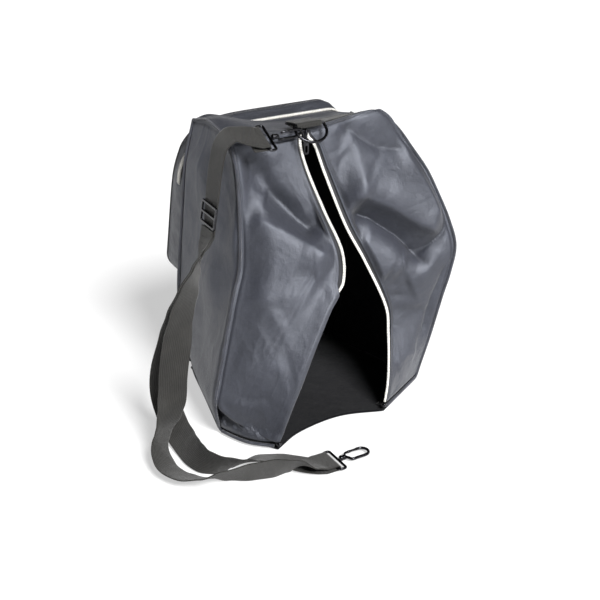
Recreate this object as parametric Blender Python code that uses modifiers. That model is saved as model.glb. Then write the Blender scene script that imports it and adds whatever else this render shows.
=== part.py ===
"""A soft shoe bag standing open: two front flaps parted by a zip, a zipped rear pocket and an
unclipped webbing shoulder strap. Metres, +Z up, the zip side faces -Y and the base rests on z = 0."""

import math

import bmesh
import bpy
from mathutils import Matrix, Vector

# ---------------------------------------------------------------- driving dimensions
TOP_HALF_WIDTH = 0.1175
TOP_HALF_DEPTH = 0.050
FABRIC = 0.0016  # coated nylon with its lining, as one sheet
GAP = 0.0012  # clearance between neighbouring sheets
SEAM_MARGIN = 0.0040  # a panel stops this far short of a piped seam
PIPING_RADIUS = 0.0020
ZIP_RADIUS = 0.0026
WEBBING_WIDTH = 0.038
WEBBING = 0.0015
WIRE_RADIUS = 0.0020  # rings and hooks
EYE_WIRE_RADIUS = 0.0018
RING_HALF_WIDTH = 0.023
RING_DEPTH = 0.028
BASE_THICKNESS = 0.0020
POCKET_DEPTH = (0.042, 0.056)  # at the top, at the bottom
POCKET_HALF_WIDTH = (0.128, 0.136)  # at the top, at the bottom
POCKET_TOP = 0.389
POCKET_BOTTOM = 0.152
POCKET_CORNER = 0.032
POCKET_ZIP_WIDTH = 0.012
POCKET_ZIP_END = 0.297  # height at which the pocket's zip ends on both sides
PULLER_DROP = 0.0095  # from a slider's centre down to its puller's pivot
BAND_SPAN = ((0.573, 0.945), (0.075, 0.440))  # of the top panel, from the left and from the front

# ---------------------------------------------------------------- seams of the bag's shell
TOP_FRONT = [(-0.1175, -0.050, 0.400), (-0.060, -0.053, 0.399), (0.000, -0.054, 0.399), (0.119, -0.050, 0.403)]
LEFT_SEAM = [
    (-0.1175, -0.050, 0.400), (-0.113, -0.062, 0.350), (-0.120, -0.078, 0.243), (-0.139, -0.090, 0.190),
    (-0.170, -0.104, 0.084), (-0.177, -0.105, 0.046), (-0.166, -0.097, 0.009),
]
RIGHT_SEAM = [
    (0.119, -0.050, 0.403), (0.147, -0.064, 0.367), (0.176, -0.080, 0.322), (0.198, -0.115, 0.245),
    (0.200, -0.126, 0.205), (0.184, -0.124, 0.142), (0.168, -0.114, 0.060), (0.155, -0.108, 0.009),
]
LEFT_BACK = [
    (-0.1175, 0.050, 0.394), (-0.130, 0.058, 0.290), (-0.142, 0.074, 0.155), (-0.138, 0.082, 0.070),
    (-0.122, 0.086, 0.007),
]
RIGHT_BACK = [
    (0.126, 0.050, 0.388), (0.133, 0.058, 0.290), (0.142, 0.074, 0.155), (0.137, 0.082, 0.070),
    (0.122, 0.086, 0.007),
]
LEFT_ZIP_EDGE = [
    (-0.016, -0.057, 0.388), (-0.017, -0.063, 0.372), (-0.014, -0.078, 0.343), (-0.006, -0.106, 0.298),
    (0.001, -0.140, 0.252), (-0.008, -0.157, 0.212), (-0.034, -0.168, 0.183), (-0.063, -0.178, 0.139),
    (-0.089, -0.183, 0.088), (-0.119, -0.177, 0.009),
]
RIGHT_ZIP_EDGE = [
    (-0.003, -0.057, 0.388), (0.005, -0.060, 0.376), (0.017, -0.068, 0.335), (0.038, -0.088, 0.265),
    (0.062, -0.102, 0.212), (0.088, -0.118, 0.145), (0.088, -0.128, 0.105), (0.072, -0.155, 0.050),
    (0.062, -0.162, 0.009),
]
ZIP_TOP_X = -0.010
FRONT_RING_X = -0.006

FRONT_RING_BAR = Vector((FRONT_RING_X, -0.062, 0.4075))
FRONT_RING_HANG = Vector((0.0, -0.77, -0.64)).normalized()
REAR_RING_BAR = Vector((0.0, 0.1168, 0.3600))
REAR_RING_HANG = Vector((0.0, 0.28, -1.0)).normalized()

# ---------------------------------------------------------------- strap route, centre line and width direction
STRAP_TO_ADJUSTER = [
    ((-0.0860, -0.0711, 0.4036), (0.0, 0.88, 0.47)),
    ((-0.0930, -0.0690, 0.4055), (0.0, 0.90, 0.43)),
    ((-0.1040, -0.0625, 0.4080), (0.0, 0.94, 0.33)),
    ((-0.1180, -0.0570, 0.4085), (0.0, 0.98, 0.18)),
    ((-0.1310, -0.0530, 0.3960), (0.0, 1.0, 0.04)),
    ((-0.1380, -0.0520, 0.3700), (0.0, 1.0, 0.0)),
    ((-0.1435, -0.0525, 0.3400), (0.0, 1.0, 0.0)),
    ((-0.1490, -0.0545, 0.3070), (0.05, 1.0, 0.0)),
]
STRAP_FRONT_STRAND = [
    ((-0.1535, -0.0565, 0.2800), (0.10, 1.0, 0.0)),
    ((-0.1580, -0.0580, 0.2700), (0.22, 0.97, 0.0)),
    ((-0.1680, -0.0630, 0.2530), (0.50, 0.866, 0.0)),
    ((-0.1800, -0.0710, 0.2360), (0.72, 0.69, 0.0)),
    ((-0.1965, -0.0800, 0.2120), (0.91, 0.42, 0.0)),
    ((-0.2120, -0.0870, 0.1840), (0.98, 0.20, 0.0)),
    ((-0.2250, -0.0930, 0.1390), (0.92, -0.38, 0.0)),
    ((-0.2320, -0.0965, 0.1070), (0.88, -0.47, 0.0)),
    ((-0.2360, -0.1000, 0.0800), (0.93, -0.35, -0.10)),
    ((-0.2430, -0.1040, 0.0570), (0.92, 0.10, -0.33)),
    ((-0.2530, -0.1060, 0.0370), (0.72, 0.42, -0.54)),
    ((-0.2620, -0.1140, 0.0215), (0.74, 0.50, -0.48)),
    ((-0.2690, -0.1380, 0.0118), (0.83, 0.36, -0.40)),
    ((-0.2691, -0.1627, 0.0090), (0.86, 0.38, -0.33)),
    ((-0.2596, -0.1850, 0.0090), (0.73, 0.60, -0.32)),
    ((-0.2419, -0.2035, 0.0115), (0.40, 0.77, -0.50)),
    ((-0.2180, -0.2190, 0.0170), (0.16, 0.60, -0.78)),
    ((-0.1857, -0.2309, 0.0193), (0.10, 0.38, -0.92)),
    ((-0.1600, -0.2370, 0.0190), (0.08, 0.35, -0.93)),
    ((-0.1330, -0.2425, 0.0170), (0.05, 0.60, -0.80)),
    ((-0.1070, -0.2435, 0.0118), (0.0, 0.985, -0.17)),
    ((-0.0900, -0.2420, 0.0086), (0.0, 1.0, 0.0)),
]
STRAP_BACK_STRAND = [
    ((-0.0900, -0.2415, 0.0022), (0.0, 1.0, 0.0)),
    ((-0.1060, -0.2300, 0.0030), (0.02, 1.0, -0.01)),
    ((-0.1280, -0.2070, 0.0044), (0.04, 0.99, -0.06)),
    ((-0.1490, -0.1960, 0.0076), (0.10, 0.96, -0.24)),
    ((-0.1710, -0.1960, 0.0108), (0.16, 0.86, -0.47)),
    ((-0.1900, -0.1990, 0.0150), (0.18, 0.70, -0.69)),
    ((-0.2070, -0.1965, 0.0180), (0.12, 0.50, -0.86)),
    ((-0.2225, -0.1860, 0.0194), (-0.10, 0.34, -0.93)),
    ((-0.2310, -0.1660, 0.0194), (-0.37, 0.22, -0.90)),
    ((-0.2310, -0.1380, 0.0170), (-0.60, -0.16, -0.78)),
    ((-0.2280, -0.1120, 0.0160), (-0.72, -0.14, -0.68)),
    ((-0.2270, -0.0850, 0.0205), (-0.76, -0.08, -0.65)),
    ((-0.2285, -0.0660, 0.0400), (-0.78, 0.18, -0.60)),
    ((-0.2310, -0.0590, 0.0680), (-0.86, 0.42, -0.28)),
    ((-0.2275, -0.0590, 0.1000), (-0.88, 0.47, 0.0)),
    ((-0.2170, -0.0640, 0.1400), (-0.90, 0.44, 0.0)),
    ((-0.2090, -0.0710, 0.1840), (-0.98, -0.15, 0.0)),
    ((-0.1990, -0.0735, 0.2120), (-0.89, -0.46, 0.0)),
    ((-0.1828, -0.0681, 0.2360), (-0.72, -0.69, 0.0)),
    ((-0.1711, -0.0612, 0.2530), (-0.50, -0.866, 0.0)),
    ((-0.1615, -0.0572, 0.2700), (-0.22, -0.97, 0.0)),
    ((-0.1571, -0.0561, 0.2800), (-0.10, -1.0, 0.0)),
    ((-0.1556, -0.0556, 0.2878), (-0.08, -1.0, 0.0)),
]
HOOK_A_FRAME = (Vector((-0.0740, -0.0700, 0.4012)), Vector((0.0, -0.64, 0.77)), Vector((0.0, 0.88, 0.47)))
HOOK_B_FRAME = (Vector((-0.0700, -0.2415, 0.0050)), Vector((0.0, 1.0, 0.0)), Vector((0.0, -1.0, 0.0)))
HOOK_EYE_HALF = (0.0050, 0.0225)  # along the hook, along the webbing's width
HOOK_BARREL = (0.0085, 0.0180)  # start and end along the hook, from the eye's centre
HOOK_LOOP_END = 0.0520
HOOK_LOOP_HALF = 0.0090
GATE_NOSE_GAP = 0.0006
TRIGLIDE_PLACE = Vector((-0.1489, -0.0545, 0.3050))
TRIGLIDE_HALF = (0.0240, 0.0155)  # across the webbing, along it
TRIGLIDE_THICKNESS = 0.0030

COLOURS = {  # colour, roughness, metallic
    "nylon": ((0.075, 0.080, 0.095), 0.55, 0.0),
    "lining": ((0.020, 0.020, 0.023), 0.85, 0.0),
    "binding": ((0.030, 0.030, 0.034), 0.70, 0.0),
    "webbing": ((0.060, 0.056, 0.050), 0.80, 0.0),
    "zip": ((0.80, 0.79, 0.76), 0.45, 0.0),
    "gunmetal": ((0.060, 0.060, 0.065), 0.35, 1.0),
}


# ---------------------------------------------------------------- scene and materials
def clear_scene():
    for thing in list(bpy.data.objects):
        bpy.data.objects.remove(thing, do_unlink=True)


def make_material(name):
    colour, roughness, metallic = COLOURS[name]
    material = bpy.data.materials.new(name)
    material.use_nodes = True
    shader = material.node_tree.nodes["Principled BSDF"]
    shader.inputs["Base Color"].default_value = (*colour, 1.0)
    shader.inputs["Roughness"].default_value = roughness
    shader.inputs["Metallic"].default_value = metallic
    return material


def add_object(name, data, material):
    thing = bpy.data.objects.new(name, data)
    BAG.objects.link(thing)
    data.materials.append(MATERIALS[material])
    return thing


def pivot(name, point, *children):
    """An empty on a joint's axis, holding the pieces that move on it."""
    empty = bpy.data.objects.new(name + "_pivot", None)
    BAG.objects.link(empty)
    empty.location = point
    empty.empty_display_size = 0.01
    for child in children:
        child.parent = empty
        child.matrix_parent_inverse = Matrix.Translation(point).inverted()


# ---------------------------------------------------------------- curves
def smooth_line(points, count):
    """`count` points, evenly spaced along a Catmull-Rom curve through `points`."""
    points = [Vector(p) for p in points]
    padded = [points[0] * 2 - points[1], *points, points[-1] * 2 - points[-2]]
    dense = []
    steps = 16
    for a, b, c, d in zip(padded, padded[1:], padded[2:], padded[3:]):
        for step in range(steps):
            t = step / steps
            dense.append(
                0.5 * (2 * b + (c - a) * t + (2 * a - 5 * b + 4 * c - d) * t**2 + (3 * b - a - 3 * c + d) * t**3)
            )
    dense.append(points[-1])
    lengths = [0.0]
    for a, b in zip(dense, dense[1:]):
        lengths.append(lengths[-1] + (b - a).length)
    result, k = [], 0
    for i in range(count):
        target = lengths[-1] * i / (count - 1)
        while k < len(dense) - 2 and lengths[k + 1] < target:
            k += 1
        share = (target - lengths[k]) / max(lengths[k + 1] - lengths[k], 1e-9)
        result.append(dense[k].lerp(dense[k + 1], min(max(share, 0.0), 1.0)))
    return result


def at(line, t):
    """The point at fraction t of an evenly spaced line."""
    place = min(max(t, 0.0), 1.0) * (len(line) - 1)
    k = min(int(place), len(line) - 2)
    return line[k].lerp(line[k + 1], place - k)


def part_of(line, start, end, count):
    return [at(line, start + (end - start) * i / (count - 1)) for i in range(count)]


def length_of(line):
    return sum((b - a).length for a, b in zip(line, line[1:]))


def coons(top, bottom, left, right):
    """A surface through four edge lines; s runs left to right and t from top to bottom."""

    def surface(s, t):
        rule_t = at(top, s).lerp(at(bottom, s), t)
        rule_s = at(left, t).lerp(at(right, t), s)
        corners = at(top, 0).lerp(at(top, 1), s).lerp(at(bottom, 0).lerp(at(bottom, 1), s), t)
        return rule_t + rule_s - corners

    return surface


# ---------------------------------------------------------------- solids
def grid_mesh(name, rows, closed=False):
    """A grid of quads through rows of points; `closed` joins each row's end to its start."""
    mesh = bmesh.new()
    grid = [[mesh.verts.new(p) for p in row] for row in rows]
    width = len(rows[0])
    for upper, lower in zip(grid, grid[1:]):
        for k in range(width if closed else width - 1):
            following = (k + 1) % width
            mesh.faces.new((upper[k], upper[following], lower[following], lower[k]))
    bmesh.ops.recalc_face_normals(mesh, faces=mesh.faces)
    data = bpy.data.meshes.new(name)
    mesh.to_mesh(data)
    mesh.free()
    data.shade_smooth()
    return data


def sheet(name, rows, material, thickness=FABRIC, closed=False):
    """An open surface given a thickness, half to each side."""
    thing = add_object(name, grid_mesh(name, rows, closed), material)
    solidify = thing.modifiers.new("thickness", "SOLIDIFY")
    solidify.thickness = thickness
    solidify.offset = 0.0
    return thing


def panel(name, surface, s_range, t_range, shape, material="nylon"):
    """A sheet over part of a surface. s_range may be a function of t."""
    columns, rows = shape
    points = []
    for i in range(rows):
        t = t_range[0] + (t_range[1] - t_range[0]) * i / (rows - 1)
        low, high = s_range(t) if callable(s_range) else s_range
        points.append([surface(low + (high - low) * k / (columns - 1), t) for k in range(columns)])
    return sheet(name, points, material)


def tube(name, points, radius, material, cyclic=False, sides=1):
    """A round tube along points. `sides` is the bevel resolution: 1 gives six sides."""
    curve = bpy.data.curves.new(name, "CURVE")
    curve.dimensions = "3D"
    curve.bevel_depth = radius
    curve.bevel_resolution = sides
    curve.use_fill_caps = True
    spline = curve.splines.new("POLY")
    spline.points.add(len(points) - 1)
    for target, point in zip(spline.points, points):
        target.co = (*point, 1.0)
    spline.use_cyclic_u = cyclic
    return add_object(name, curve, material)


def strap_run(stations, count):
    """`count` evenly spaced (centre, width direction) pairs along a route of such pairs."""
    centres = smooth_line([centre for centre, _ in stations], count)
    spans = [0.0]
    for (a, _), (b, _) in zip(stations, stations[1:]):
        spans.append(spans[-1] + (Vector(b) - Vector(a)).length)
    run = []
    for i, centre in enumerate(centres):
        target = spans[-1] * i / (count - 1)
        k = max(j for j in range(len(spans) - 1) if spans[j] <= target + 1e-9)
        share = (target - spans[k]) / (spans[k + 1] - spans[k])
        share = share * share * (3 - 2 * share)
        run.append((centre, Vector(stations[k][1]).lerp(Vector(stations[k + 1][1]), share)))
    return run


def strap_turn(bar, away, up, width, radius, steps=6):
    """Webbing going round a bar from above it to below it."""
    turn = []
    for step in range(steps + 1):
        angle = math.pi * step / steps
        turn.append((bar + (away * math.sin(angle) + up * math.cos(angle)) * radius, width))
    return turn


def ribbon(name, run, material="webbing"):
    """Flat webbing along a run of (centre, width direction)."""
    rows = []
    for i, (centre, width) in enumerate(run):
        along = run[min(i + 1, len(run) - 1)][0] - run[max(i - 1, 0)][0]
        width = (width - along * (width.dot(along) / along.dot(along))).normalized() * (WEBBING_WIDTH / 2)
        rows.append([centre - width, centre, centre + width])
    return sheet(name, rows, material, WEBBING)


def flat_plate(name, outline, thickness, frame, material, holes=()):
    """A plate cut from a flat outline, with holes. frame is the matrix of its middle plane."""
    curve = bpy.data.curves.new(name, "CURVE")
    curve.dimensions = "2D"
    curve.fill_mode = "BOTH"
    curve.extrude = thickness / 2
    for loop in (outline, *holes):
        spline = curve.splines.new("POLY")
        spline.points.add(len(loop) - 1)
        for target, (x, y) in zip(spline.points, loop):
            target.co = (x, y, 0.0, 1.0)
        spline.use_cyclic_u = True
    thing = add_object(name, curve, material)
    thing.matrix_world = frame
    return thing


def rounded_rectangle(half_x, half_y, radius, steps=4, centre=(0.0, 0.0)):
    """Corner arcs of a rectangle's outline, anticlockwise."""
    points = []
    for corner in range(4):
        sign_x, sign_y = ((1, 1), (-1, 1), (-1, -1), (1, -1))[corner]
        for step in range(steps + 1):
            angle = math.pi / 2 * (corner + step / steps)
            points.append((
                centre[0] + sign_x * (half_x - radius) + radius * math.cos(angle),
                centre[1] + sign_y * (half_y - radius) + radius * math.sin(angle),
            ))
    return points


def frame_matrix(origin, x_axis, y_axis):
    x_axis = x_axis.normalized()
    z_axis = x_axis.cross(y_axis).normalized()
    y_axis = z_axis.cross(x_axis)
    matrix = Matrix((x_axis, y_axis, z_axis)).transposed().to_4x4()
    matrix.translation = origin
    return matrix


def block(name, size, matrix, material, bevel=0.0008, taper=1.0):
    """A bevelled box; taper narrows its lower end in x."""
    mesh = bmesh.new()
    bmesh.ops.create_cube(mesh, size=1.0)
    for vert in mesh.verts:
        narrow = taper if vert.co.y < 0 else 1.0
        vert.co = Vector((vert.co.x * size[0] * narrow, vert.co.y * size[1], vert.co.z * size[2]))
    data = bpy.data.meshes.new(name)
    mesh.to_mesh(data)
    mesh.free()
    thing = add_object(name, data, material)
    thing.matrix_world = matrix
    edge = thing.modifiers.new("edge", "BEVEL")
    edge.width = bevel
    edge.segments = 1
    return thing


# ---------------------------------------------------------------- shell
def build_shell(edges):
    """Top, sides, back and base of the bag."""
    top_back = smooth_line([LEFT_BACK[0], (0.0, 0.050, 0.397), RIGHT_BACK[0]], 40)
    left_top = [edges["left_seam"][0], edges["left_back"][0]]
    right_top = [edges["right_seam"][0], edges["right_back"][0]]
    top = coons(edges["top_front"], top_back, left_top, right_top)
    inset_s = SEAM_MARGIN / (2 * TOP_HALF_WIDTH)
    inset_t = SEAM_MARGIN / (2 * TOP_HALF_DEPTH)
    panel("top_panel", top, (inset_s, 1 - inset_s), (inset_t, 1 - inset_t), (9, 5))
    rise = Vector((0.0, 0.0, FABRIC / 2 + WEBBING / 2 + 0.0006))
    (start, end), (front, rear) = BAND_SPAN
    band = [[top(start + (end - start) * k / 6, t) + rise for k in range(7)] for t in (front, (front + rear) / 2, rear)]
    sheet("top_band", band, "webbing", WEBBING)

    for side in ("left", "right"):
        seam, back = edges[side + "_seam"], edges[side + "_back"]
        flank = coons([seam[0], back[0]], [seam[-1], back[-1]], seam, back)
        panel(side + "_side_panel", flank, (0.035, 0.975), (0.014, 0.985), (7, 13))

    back_bottom = [edges["left_back"][-1], edges["right_back"][-1]]
    back = coons(top_back, back_bottom, edges["left_back"], edges["right_back"])
    panel("back_panel", back, (0.016, 0.984), (0.014, 0.985), (7, 9))


def base_outline(edges):
    """The base's corners on the floor, from the back left round by the front to the back right."""
    front = smooth_line([
        edges["left_zip"][-1], (-0.070, -0.152, 0.0), (0.000, -0.143, 0.0), edges["right_zip"][-1],
    ], 12)
    corners = [edges["left_back"][-1], edges["left_seam"][-1], *front, edges["right_seam"][-1], edges["right_back"][-1]]
    return [(p[0], p[1]) for p in corners]


def build_base(edges):
    outline = base_outline(edges)
    frame = Matrix.Translation((0.0, 0.0, BASE_THICKNESS / 2))
    flat_plate("base_panel", outline, BASE_THICKNESS, frame, "nylon")


# ---------------------------------------------------------------- front flaps
def crescent(depth):
    """How far the folding lapel reaches in from the zip at height fraction t."""
    return lambda t: depth * math.sin(math.pi * min(max((t - 0.03) / 0.94, 0.0), 1.0)) ** 0.8


def build_flap(side, edges, lapel_depth):
    """A front half panel in two pieces: the part fixed to the seams and the lapel that folds along the zip."""
    seam, zip_edge = edges[side + "_seam"], edges[side + "_zip"]
    middle = 0.5 + ZIP_TOP_X / (2 * TOP_HALF_WIDTH)
    ends = (0.0, middle) if side == "left" else (1.0, middle)
    top_edge = part_of(edges["top_front"], *ends, 12)
    shift = zip_edge[0] - top_edge[-1]
    top_edge = [p + shift * (i / 11) for i, p in enumerate(top_edge)]
    bottom_edge = [seam[-1], zip_edge[-1]]
    surface = coons(top_edge, bottom_edge, seam, zip_edge)
    reach = crescent(lapel_depth)
    slit = 0.024

    panel(side + "_flap", surface, lambda t: (0.045, 1 - 0.045 - slit - reach(t)), (0.022, 0.982), (8, 14))
    lapel = panel(side + "_lapel", surface, lambda t: (1 - 0.050 - reach(t), 1 - 0.048), (0.075, 0.930), (5, 12))
    zip_half = part_of(zip_edge, 0.012, 0.985, 34)
    teeth = tube(side + "_zip_half", zip_half, ZIP_RADIUS, "zip")
    end = part_of(zip_edge, 0.9925, 1.0, 2)
    stop = tube(side + "_zip_stop", [end[0], end[1]], ZIP_RADIUS * 1.25, "gunmetal", sides=2)
    pivot(side + "_lapel", zip_edge[0], lapel, teeth, stop)


def build_piping(edges):
    """Cord piping along the seams."""
    for side in ("left", "right"):
        seam, zip_edge = edges[side + "_seam"], edges[side + "_zip"]
        foot = seam[-1].copy()
        foot.z = 0.0070
        toe = zip_edge[-1].copy()
        toe.z = 0.0054
        toe = foot.lerp(toe, 0.93)
        hem = [foot.lerp(toe, 0.12), foot.lerp(toe, 0.5), toe]
        for point in hem:
            point.z = 0.0054
        route = [*part_of(seam, 0.02, 0.955, 9), foot, *hem]
        tube(side + "_front_piping", smooth_line(route, 30), PIPING_RADIUS, "binding")

        start, end = edges[side + "_seam"][0], edges[side + "_back"][0]
        tube(side + "_top_piping", part_of([start, end], 0.05, 0.95, 5), PIPING_RADIUS, "binding")

        back = edges[side + "_back"]
        tube(side + "_back_piping", part_of(back, 0.015, 0.965, 12), PIPING_RADIUS, "binding")

    front = edges["top_front"]
    tube("top_front_piping", part_of(front, 0.022, 0.978, 14), PIPING_RADIUS, "binding")
    corners = [edges["left_seam"][-1], edges["left_back"][-1], edges["right_back"][-1], edges["right_seam"][-1]]
    flat = [Vector((p.x, p.y, 0.0050)) for p in corners]
    route = [
        flat[0].lerp(flat[1], 0.05), flat[0].lerp(flat[1], 0.5), flat[0].lerp(flat[1], 0.95),
        flat[1].lerp(flat[2], 0.04), flat[1].lerp(flat[2], 0.5), flat[1].lerp(flat[2], 0.96),
        flat[2].lerp(flat[3], 0.05), flat[2].lerp(flat[3], 0.5), flat[2].lerp(flat[3], 0.95),
    ]
    tube("base_piping", smooth_line(route, 30), PIPING_RADIUS, "binding")


# ---------------------------------------------------------------- rear pocket
def back_depth(z):
    """y of the back panel's outer face at height z, with a little clearance."""
    profile = LEFT_BACK
    for (_, y_high, high), (_, y_low, low) in zip(profile, profile[1:]):
        if z >= low:
            share = min(max((high - z) / (high - low), 0.0), 1.0)
            return y_high + (y_low - y_high) * share + FABRIC / 2 + GAP
    return profile[-1][1] + FABRIC


def pocket_taper(pair, z):
    """A size that changes evenly from the pocket's top to its bottom."""
    share = (POCKET_TOP - z) / (POCKET_TOP - POCKET_BOTTOM)
    return pair[0] + (pair[1] - pair[0]) * share


def pocket_loop(count):
    """The pocket's outline as evenly spaced (x, z), starting at the bottom centre and going left."""
    middle = (POCKET_TOP + POCKET_BOTTOM) / 2
    half = (POCKET_TOP - POCKET_BOTTOM) / 2
    corners = rounded_rectangle(POCKET_HALF_WIDTH[0], half, POCKET_CORNER, 8, (0.0, middle))
    corners = [Vector((x * pocket_taper(POCKET_HALF_WIDTH, z) / POCKET_HALF_WIDTH[0], 0.0, z)) for x, z in corners]
    start = Vector((0.0, 0.0, POCKET_BOTTOM))
    bottom_left = [k for k, p in enumerate(corners) if p.x < 0 and p.z < middle]
    ordered = corners[: bottom_left[-1] + 1][::-1] + corners[bottom_left[-1] + 1:][::-1]
    line = [start, *ordered, start]
    total = length_of(line)
    lengths, result = [0.0], []
    for a, b in zip(line, line[1:]):
        lengths.append(lengths[-1] + (b - a).length)
    for i in range(count):
        target = total * i / count
        k = max(j for j in range(len(lengths) - 1) if lengths[j] <= target + 1e-9)
        result.append(line[k].lerp(line[k + 1], (target - lengths[k]) / (lengths[k + 1] - lengths[k])))
    return result


def build_pocket():
    loop = pocket_loop(60)
    inner, outer = [], []
    for p in loop:
        root = back_depth(p.z)
        zipped = min(max((p.z - POCKET_ZIP_END) / 0.006, 0.0), 1.0)
        inner.append(Vector((p.x, root + zipped * (POCKET_ZIP_WIDTH + GAP), p.z)))
        outer.append(Vector((p.x, root + pocket_taper(POCKET_DEPTH, p.z), p.z)))
    middle = [a.lerp(b, 0.5) for a, b in zip(inner, outer)]
    sheet("pocket_gusset", [inner, middle, outer], "nylon", closed=True)

    zip_points = [p for p in loop if p.z > POCKET_ZIP_END + 0.004]
    near = [Vector((p.x, back_depth(p.z), p.z)) for p in zip_points]
    far = [p + Vector((0.0, POCKET_ZIP_WIDTH - GAP, 0.0)) for p in near]
    sheet("pocket_zip", [near, far], "zip")

    middle_z = (POCKET_TOP + POCKET_BOTTOM) / 2
    centre = Vector((0.0, back_depth(middle_z) + pocket_taper(POCKET_DEPTH, middle_z) + 0.007, middle_z))
    rings = []
    for scale in (0.985, 0.80, 0.55, 0.28):
        ring = []
        for p, edge in zip(loop[::2], outer[::2]):
            rim = Vector((edge.x, edge.y + FABRIC + GAP, edge.z))
            point = centre.lerp(rim, scale)
            point.y = centre.y + (rim.y - centre.y) * scale**3
            ring.append(point)
        rings.append(ring)
    mesh = bmesh.new()
    grid = [[mesh.verts.new(p) for p in ring] for ring in rings]
    width = len(grid[0])
    for upper, lower in zip(grid, grid[1:]):
        for k in range(width):
            following = (k + 1) % width
            mesh.faces.new((upper[k], upper[following], lower[following], lower[k]))
    mesh.faces.new(grid[-1])
    bmesh.ops.recalc_face_normals(mesh, faces=mesh.faces)
    data = bpy.data.meshes.new("pocket_panel")
    mesh.to_mesh(data)
    mesh.free()
    thing = add_object("pocket_panel", data, "nylon")
    solidify = thing.modifiers.new("thickness", "SOLIDIFY")
    solidify.thickness = FABRIC
    solidify.offset = 0.0

    side_y = back_depth(POCKET_ZIP_END) + POCKET_ZIP_WIDTH / 2
    side_x = pocket_taper(POCKET_HALF_WIDTH, POCKET_ZIP_END) + FABRIC / 2 + 0.0024
    place = Vector((side_x, side_y, POCKET_ZIP_END + 0.011))
    outward = frame_matrix(place, Vector((0.0, 1.0, 0.0)), Vector((0.0, 0.0, 1.0)))
    slider = block("pocket_zip_slider", (0.0080, 0.0110, 0.0032), outward, "gunmetal", taper=0.75)
    hang = place + Vector((0.0029, 0.0, -PULLER_DROP))
    tab = puller("pocket_zip_puller", frame_matrix(hang, Vector((0.0, 1.0, 0.0)), Vector((0.0, 0.0, 1.0))))
    pivot("pocket_zip_slider", place, slider)
    pivot("pocket_zip_puller", hang, tab)


def puller(name, frame):
    """A flat pull tab hanging down its frame's -Y, pivoted at the frame's origin."""
    length = 0.022
    outline = rounded_rectangle(0.0038, length / 2, 0.0020, 3, (0.0, -length / 2 + 0.003))
    hole = rounded_rectangle(0.0022, 0.0015, 0.0008, 2)
    return flat_plate(name, outline, 0.0014, frame, "gunmetal", [hole[::-1]])


# ---------------------------------------------------------------- hardware
def d_ring(name, bar, hang):
    """A D-shaped wire ring: a straight bar along X, two short legs and an arc."""
    points = []
    leg = RING_DEPTH * 0.30
    across = Vector((1.0, 0.0, 0.0))
    for x in (-0.92, -0.5, 0.0, 0.5, 0.92):
        points.append(bar + across * RING_HALF_WIDTH * x)
    steps = 14
    for step in range(steps + 1):
        angle = math.pi * step / steps
        sideways = RING_HALF_WIDTH * math.cos(angle)
        down = leg + (RING_DEPTH - leg) * math.sin(angle) if 0 < step < steps else leg
        points.append(bar + across * sideways + hang * down)
    corner_right = bar + across * RING_HALF_WIDTH + hang * 0.0022
    corner_left = bar - across * RING_HALF_WIDTH + hang * 0.0022
    points.insert(5, corner_right)
    points.append(corner_left)
    return tube(name, points, WIRE_RADIUS, "gunmetal", cyclic=True)


def ring_tab(name, centre, bar_y, bar_z, sewn_to):
    """Webbing folded round a ring's bar, sewn down at its two ends. sewn_to gives the two ends as (y, z)."""
    radius = WIRE_RADIUS + 0.0006 + WEBBING / 2
    first, last = (Vector((0.0, *end)) for end in sewn_to)
    bar = Vector((0.0, bar_y, bar_z))
    towards = ((first + last) / 2 - bar).normalized()
    base = math.atan2(towards.z, towards.y)
    arc = []
    steps = 8
    for step in range(steps + 1):
        angle = base + math.radians(80) + math.radians(200) * step / steps
        arc.append(bar + Vector((0.0, math.cos(angle), math.sin(angle))) * radius)
    if (arc[0] - first).length > (arc[-1] - first).length:
        first, last = last, first
    profile = [first, first.lerp(arc[0], 0.6), *arc, last.lerp(arc[-1], 0.6), last]
    half = WEBBING_WIDTH / 2
    rows = [[p + Vector((centre + x, 0.0, 0.0)) for x in (-half, 0.0, half)] for p in profile]
    return sheet(name, rows, "webbing", WEBBING)


def snap_hook(prefix, frame):
    """A swivel snap hook along +X from its webbing eye: eye, wire body with barrel, and spring gate."""
    centre, across, width = frame
    across, width = across.normalized(), width.normalized()
    forward = Vector((1.0, 0.0, 0.0))

    half_x, half_w = HOOK_EYE_HALF
    loop = rounded_rectangle(half_x, half_w, 0.003, 3)
    eye = [centre + forward * x + width * w for x, w in loop]
    tube(prefix + "_eye", eye, EYE_WIRE_RADIUS, "gunmetal", cyclic=True)

    def spot(x, n):
        return centre + forward * x + across * n

    start, end = HOOK_BARREL
    radius = HOOK_LOOP_HALF
    bend = HOOK_LOOP_END - radius
    jaw = [spot(end - 0.004, 0.0), spot(end - 0.001, 0.0), spot(end + 0.0015, -0.0035), spot(end + 0.005, -radius)]
    jaw += [spot(end + (bend - end) * k, -radius) for k in (0.5, 0.8)]
    steps = 8
    for step in range(steps + 1):
        angle = -math.pi / 2 + math.pi * step / steps
        jaw.append(spot(bend + radius * math.cos(angle), radius * math.sin(angle)))
    nose = bend - 0.004
    jaw.append(spot(nose, radius))
    body = tube(prefix + "_body", smooth_line(jaw, 30), WIRE_RADIUS, "gunmetal", sides=2)
    body = add_barrel(body, centre, start, end)
    pivot(prefix, centre, body)

    gate_start, gate_end = end + 0.0015, nose - GATE_NOSE_GAP
    gate = [spot(gate_start, radius - 0.0030), spot(gate_start + 0.004, radius - 0.0006), spot(gate_end, radius)]
    pivot(prefix + "_gate", gate[0], tube(prefix + "_gate", gate, WIRE_RADIUS * 0.8, "gunmetal"))


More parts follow.
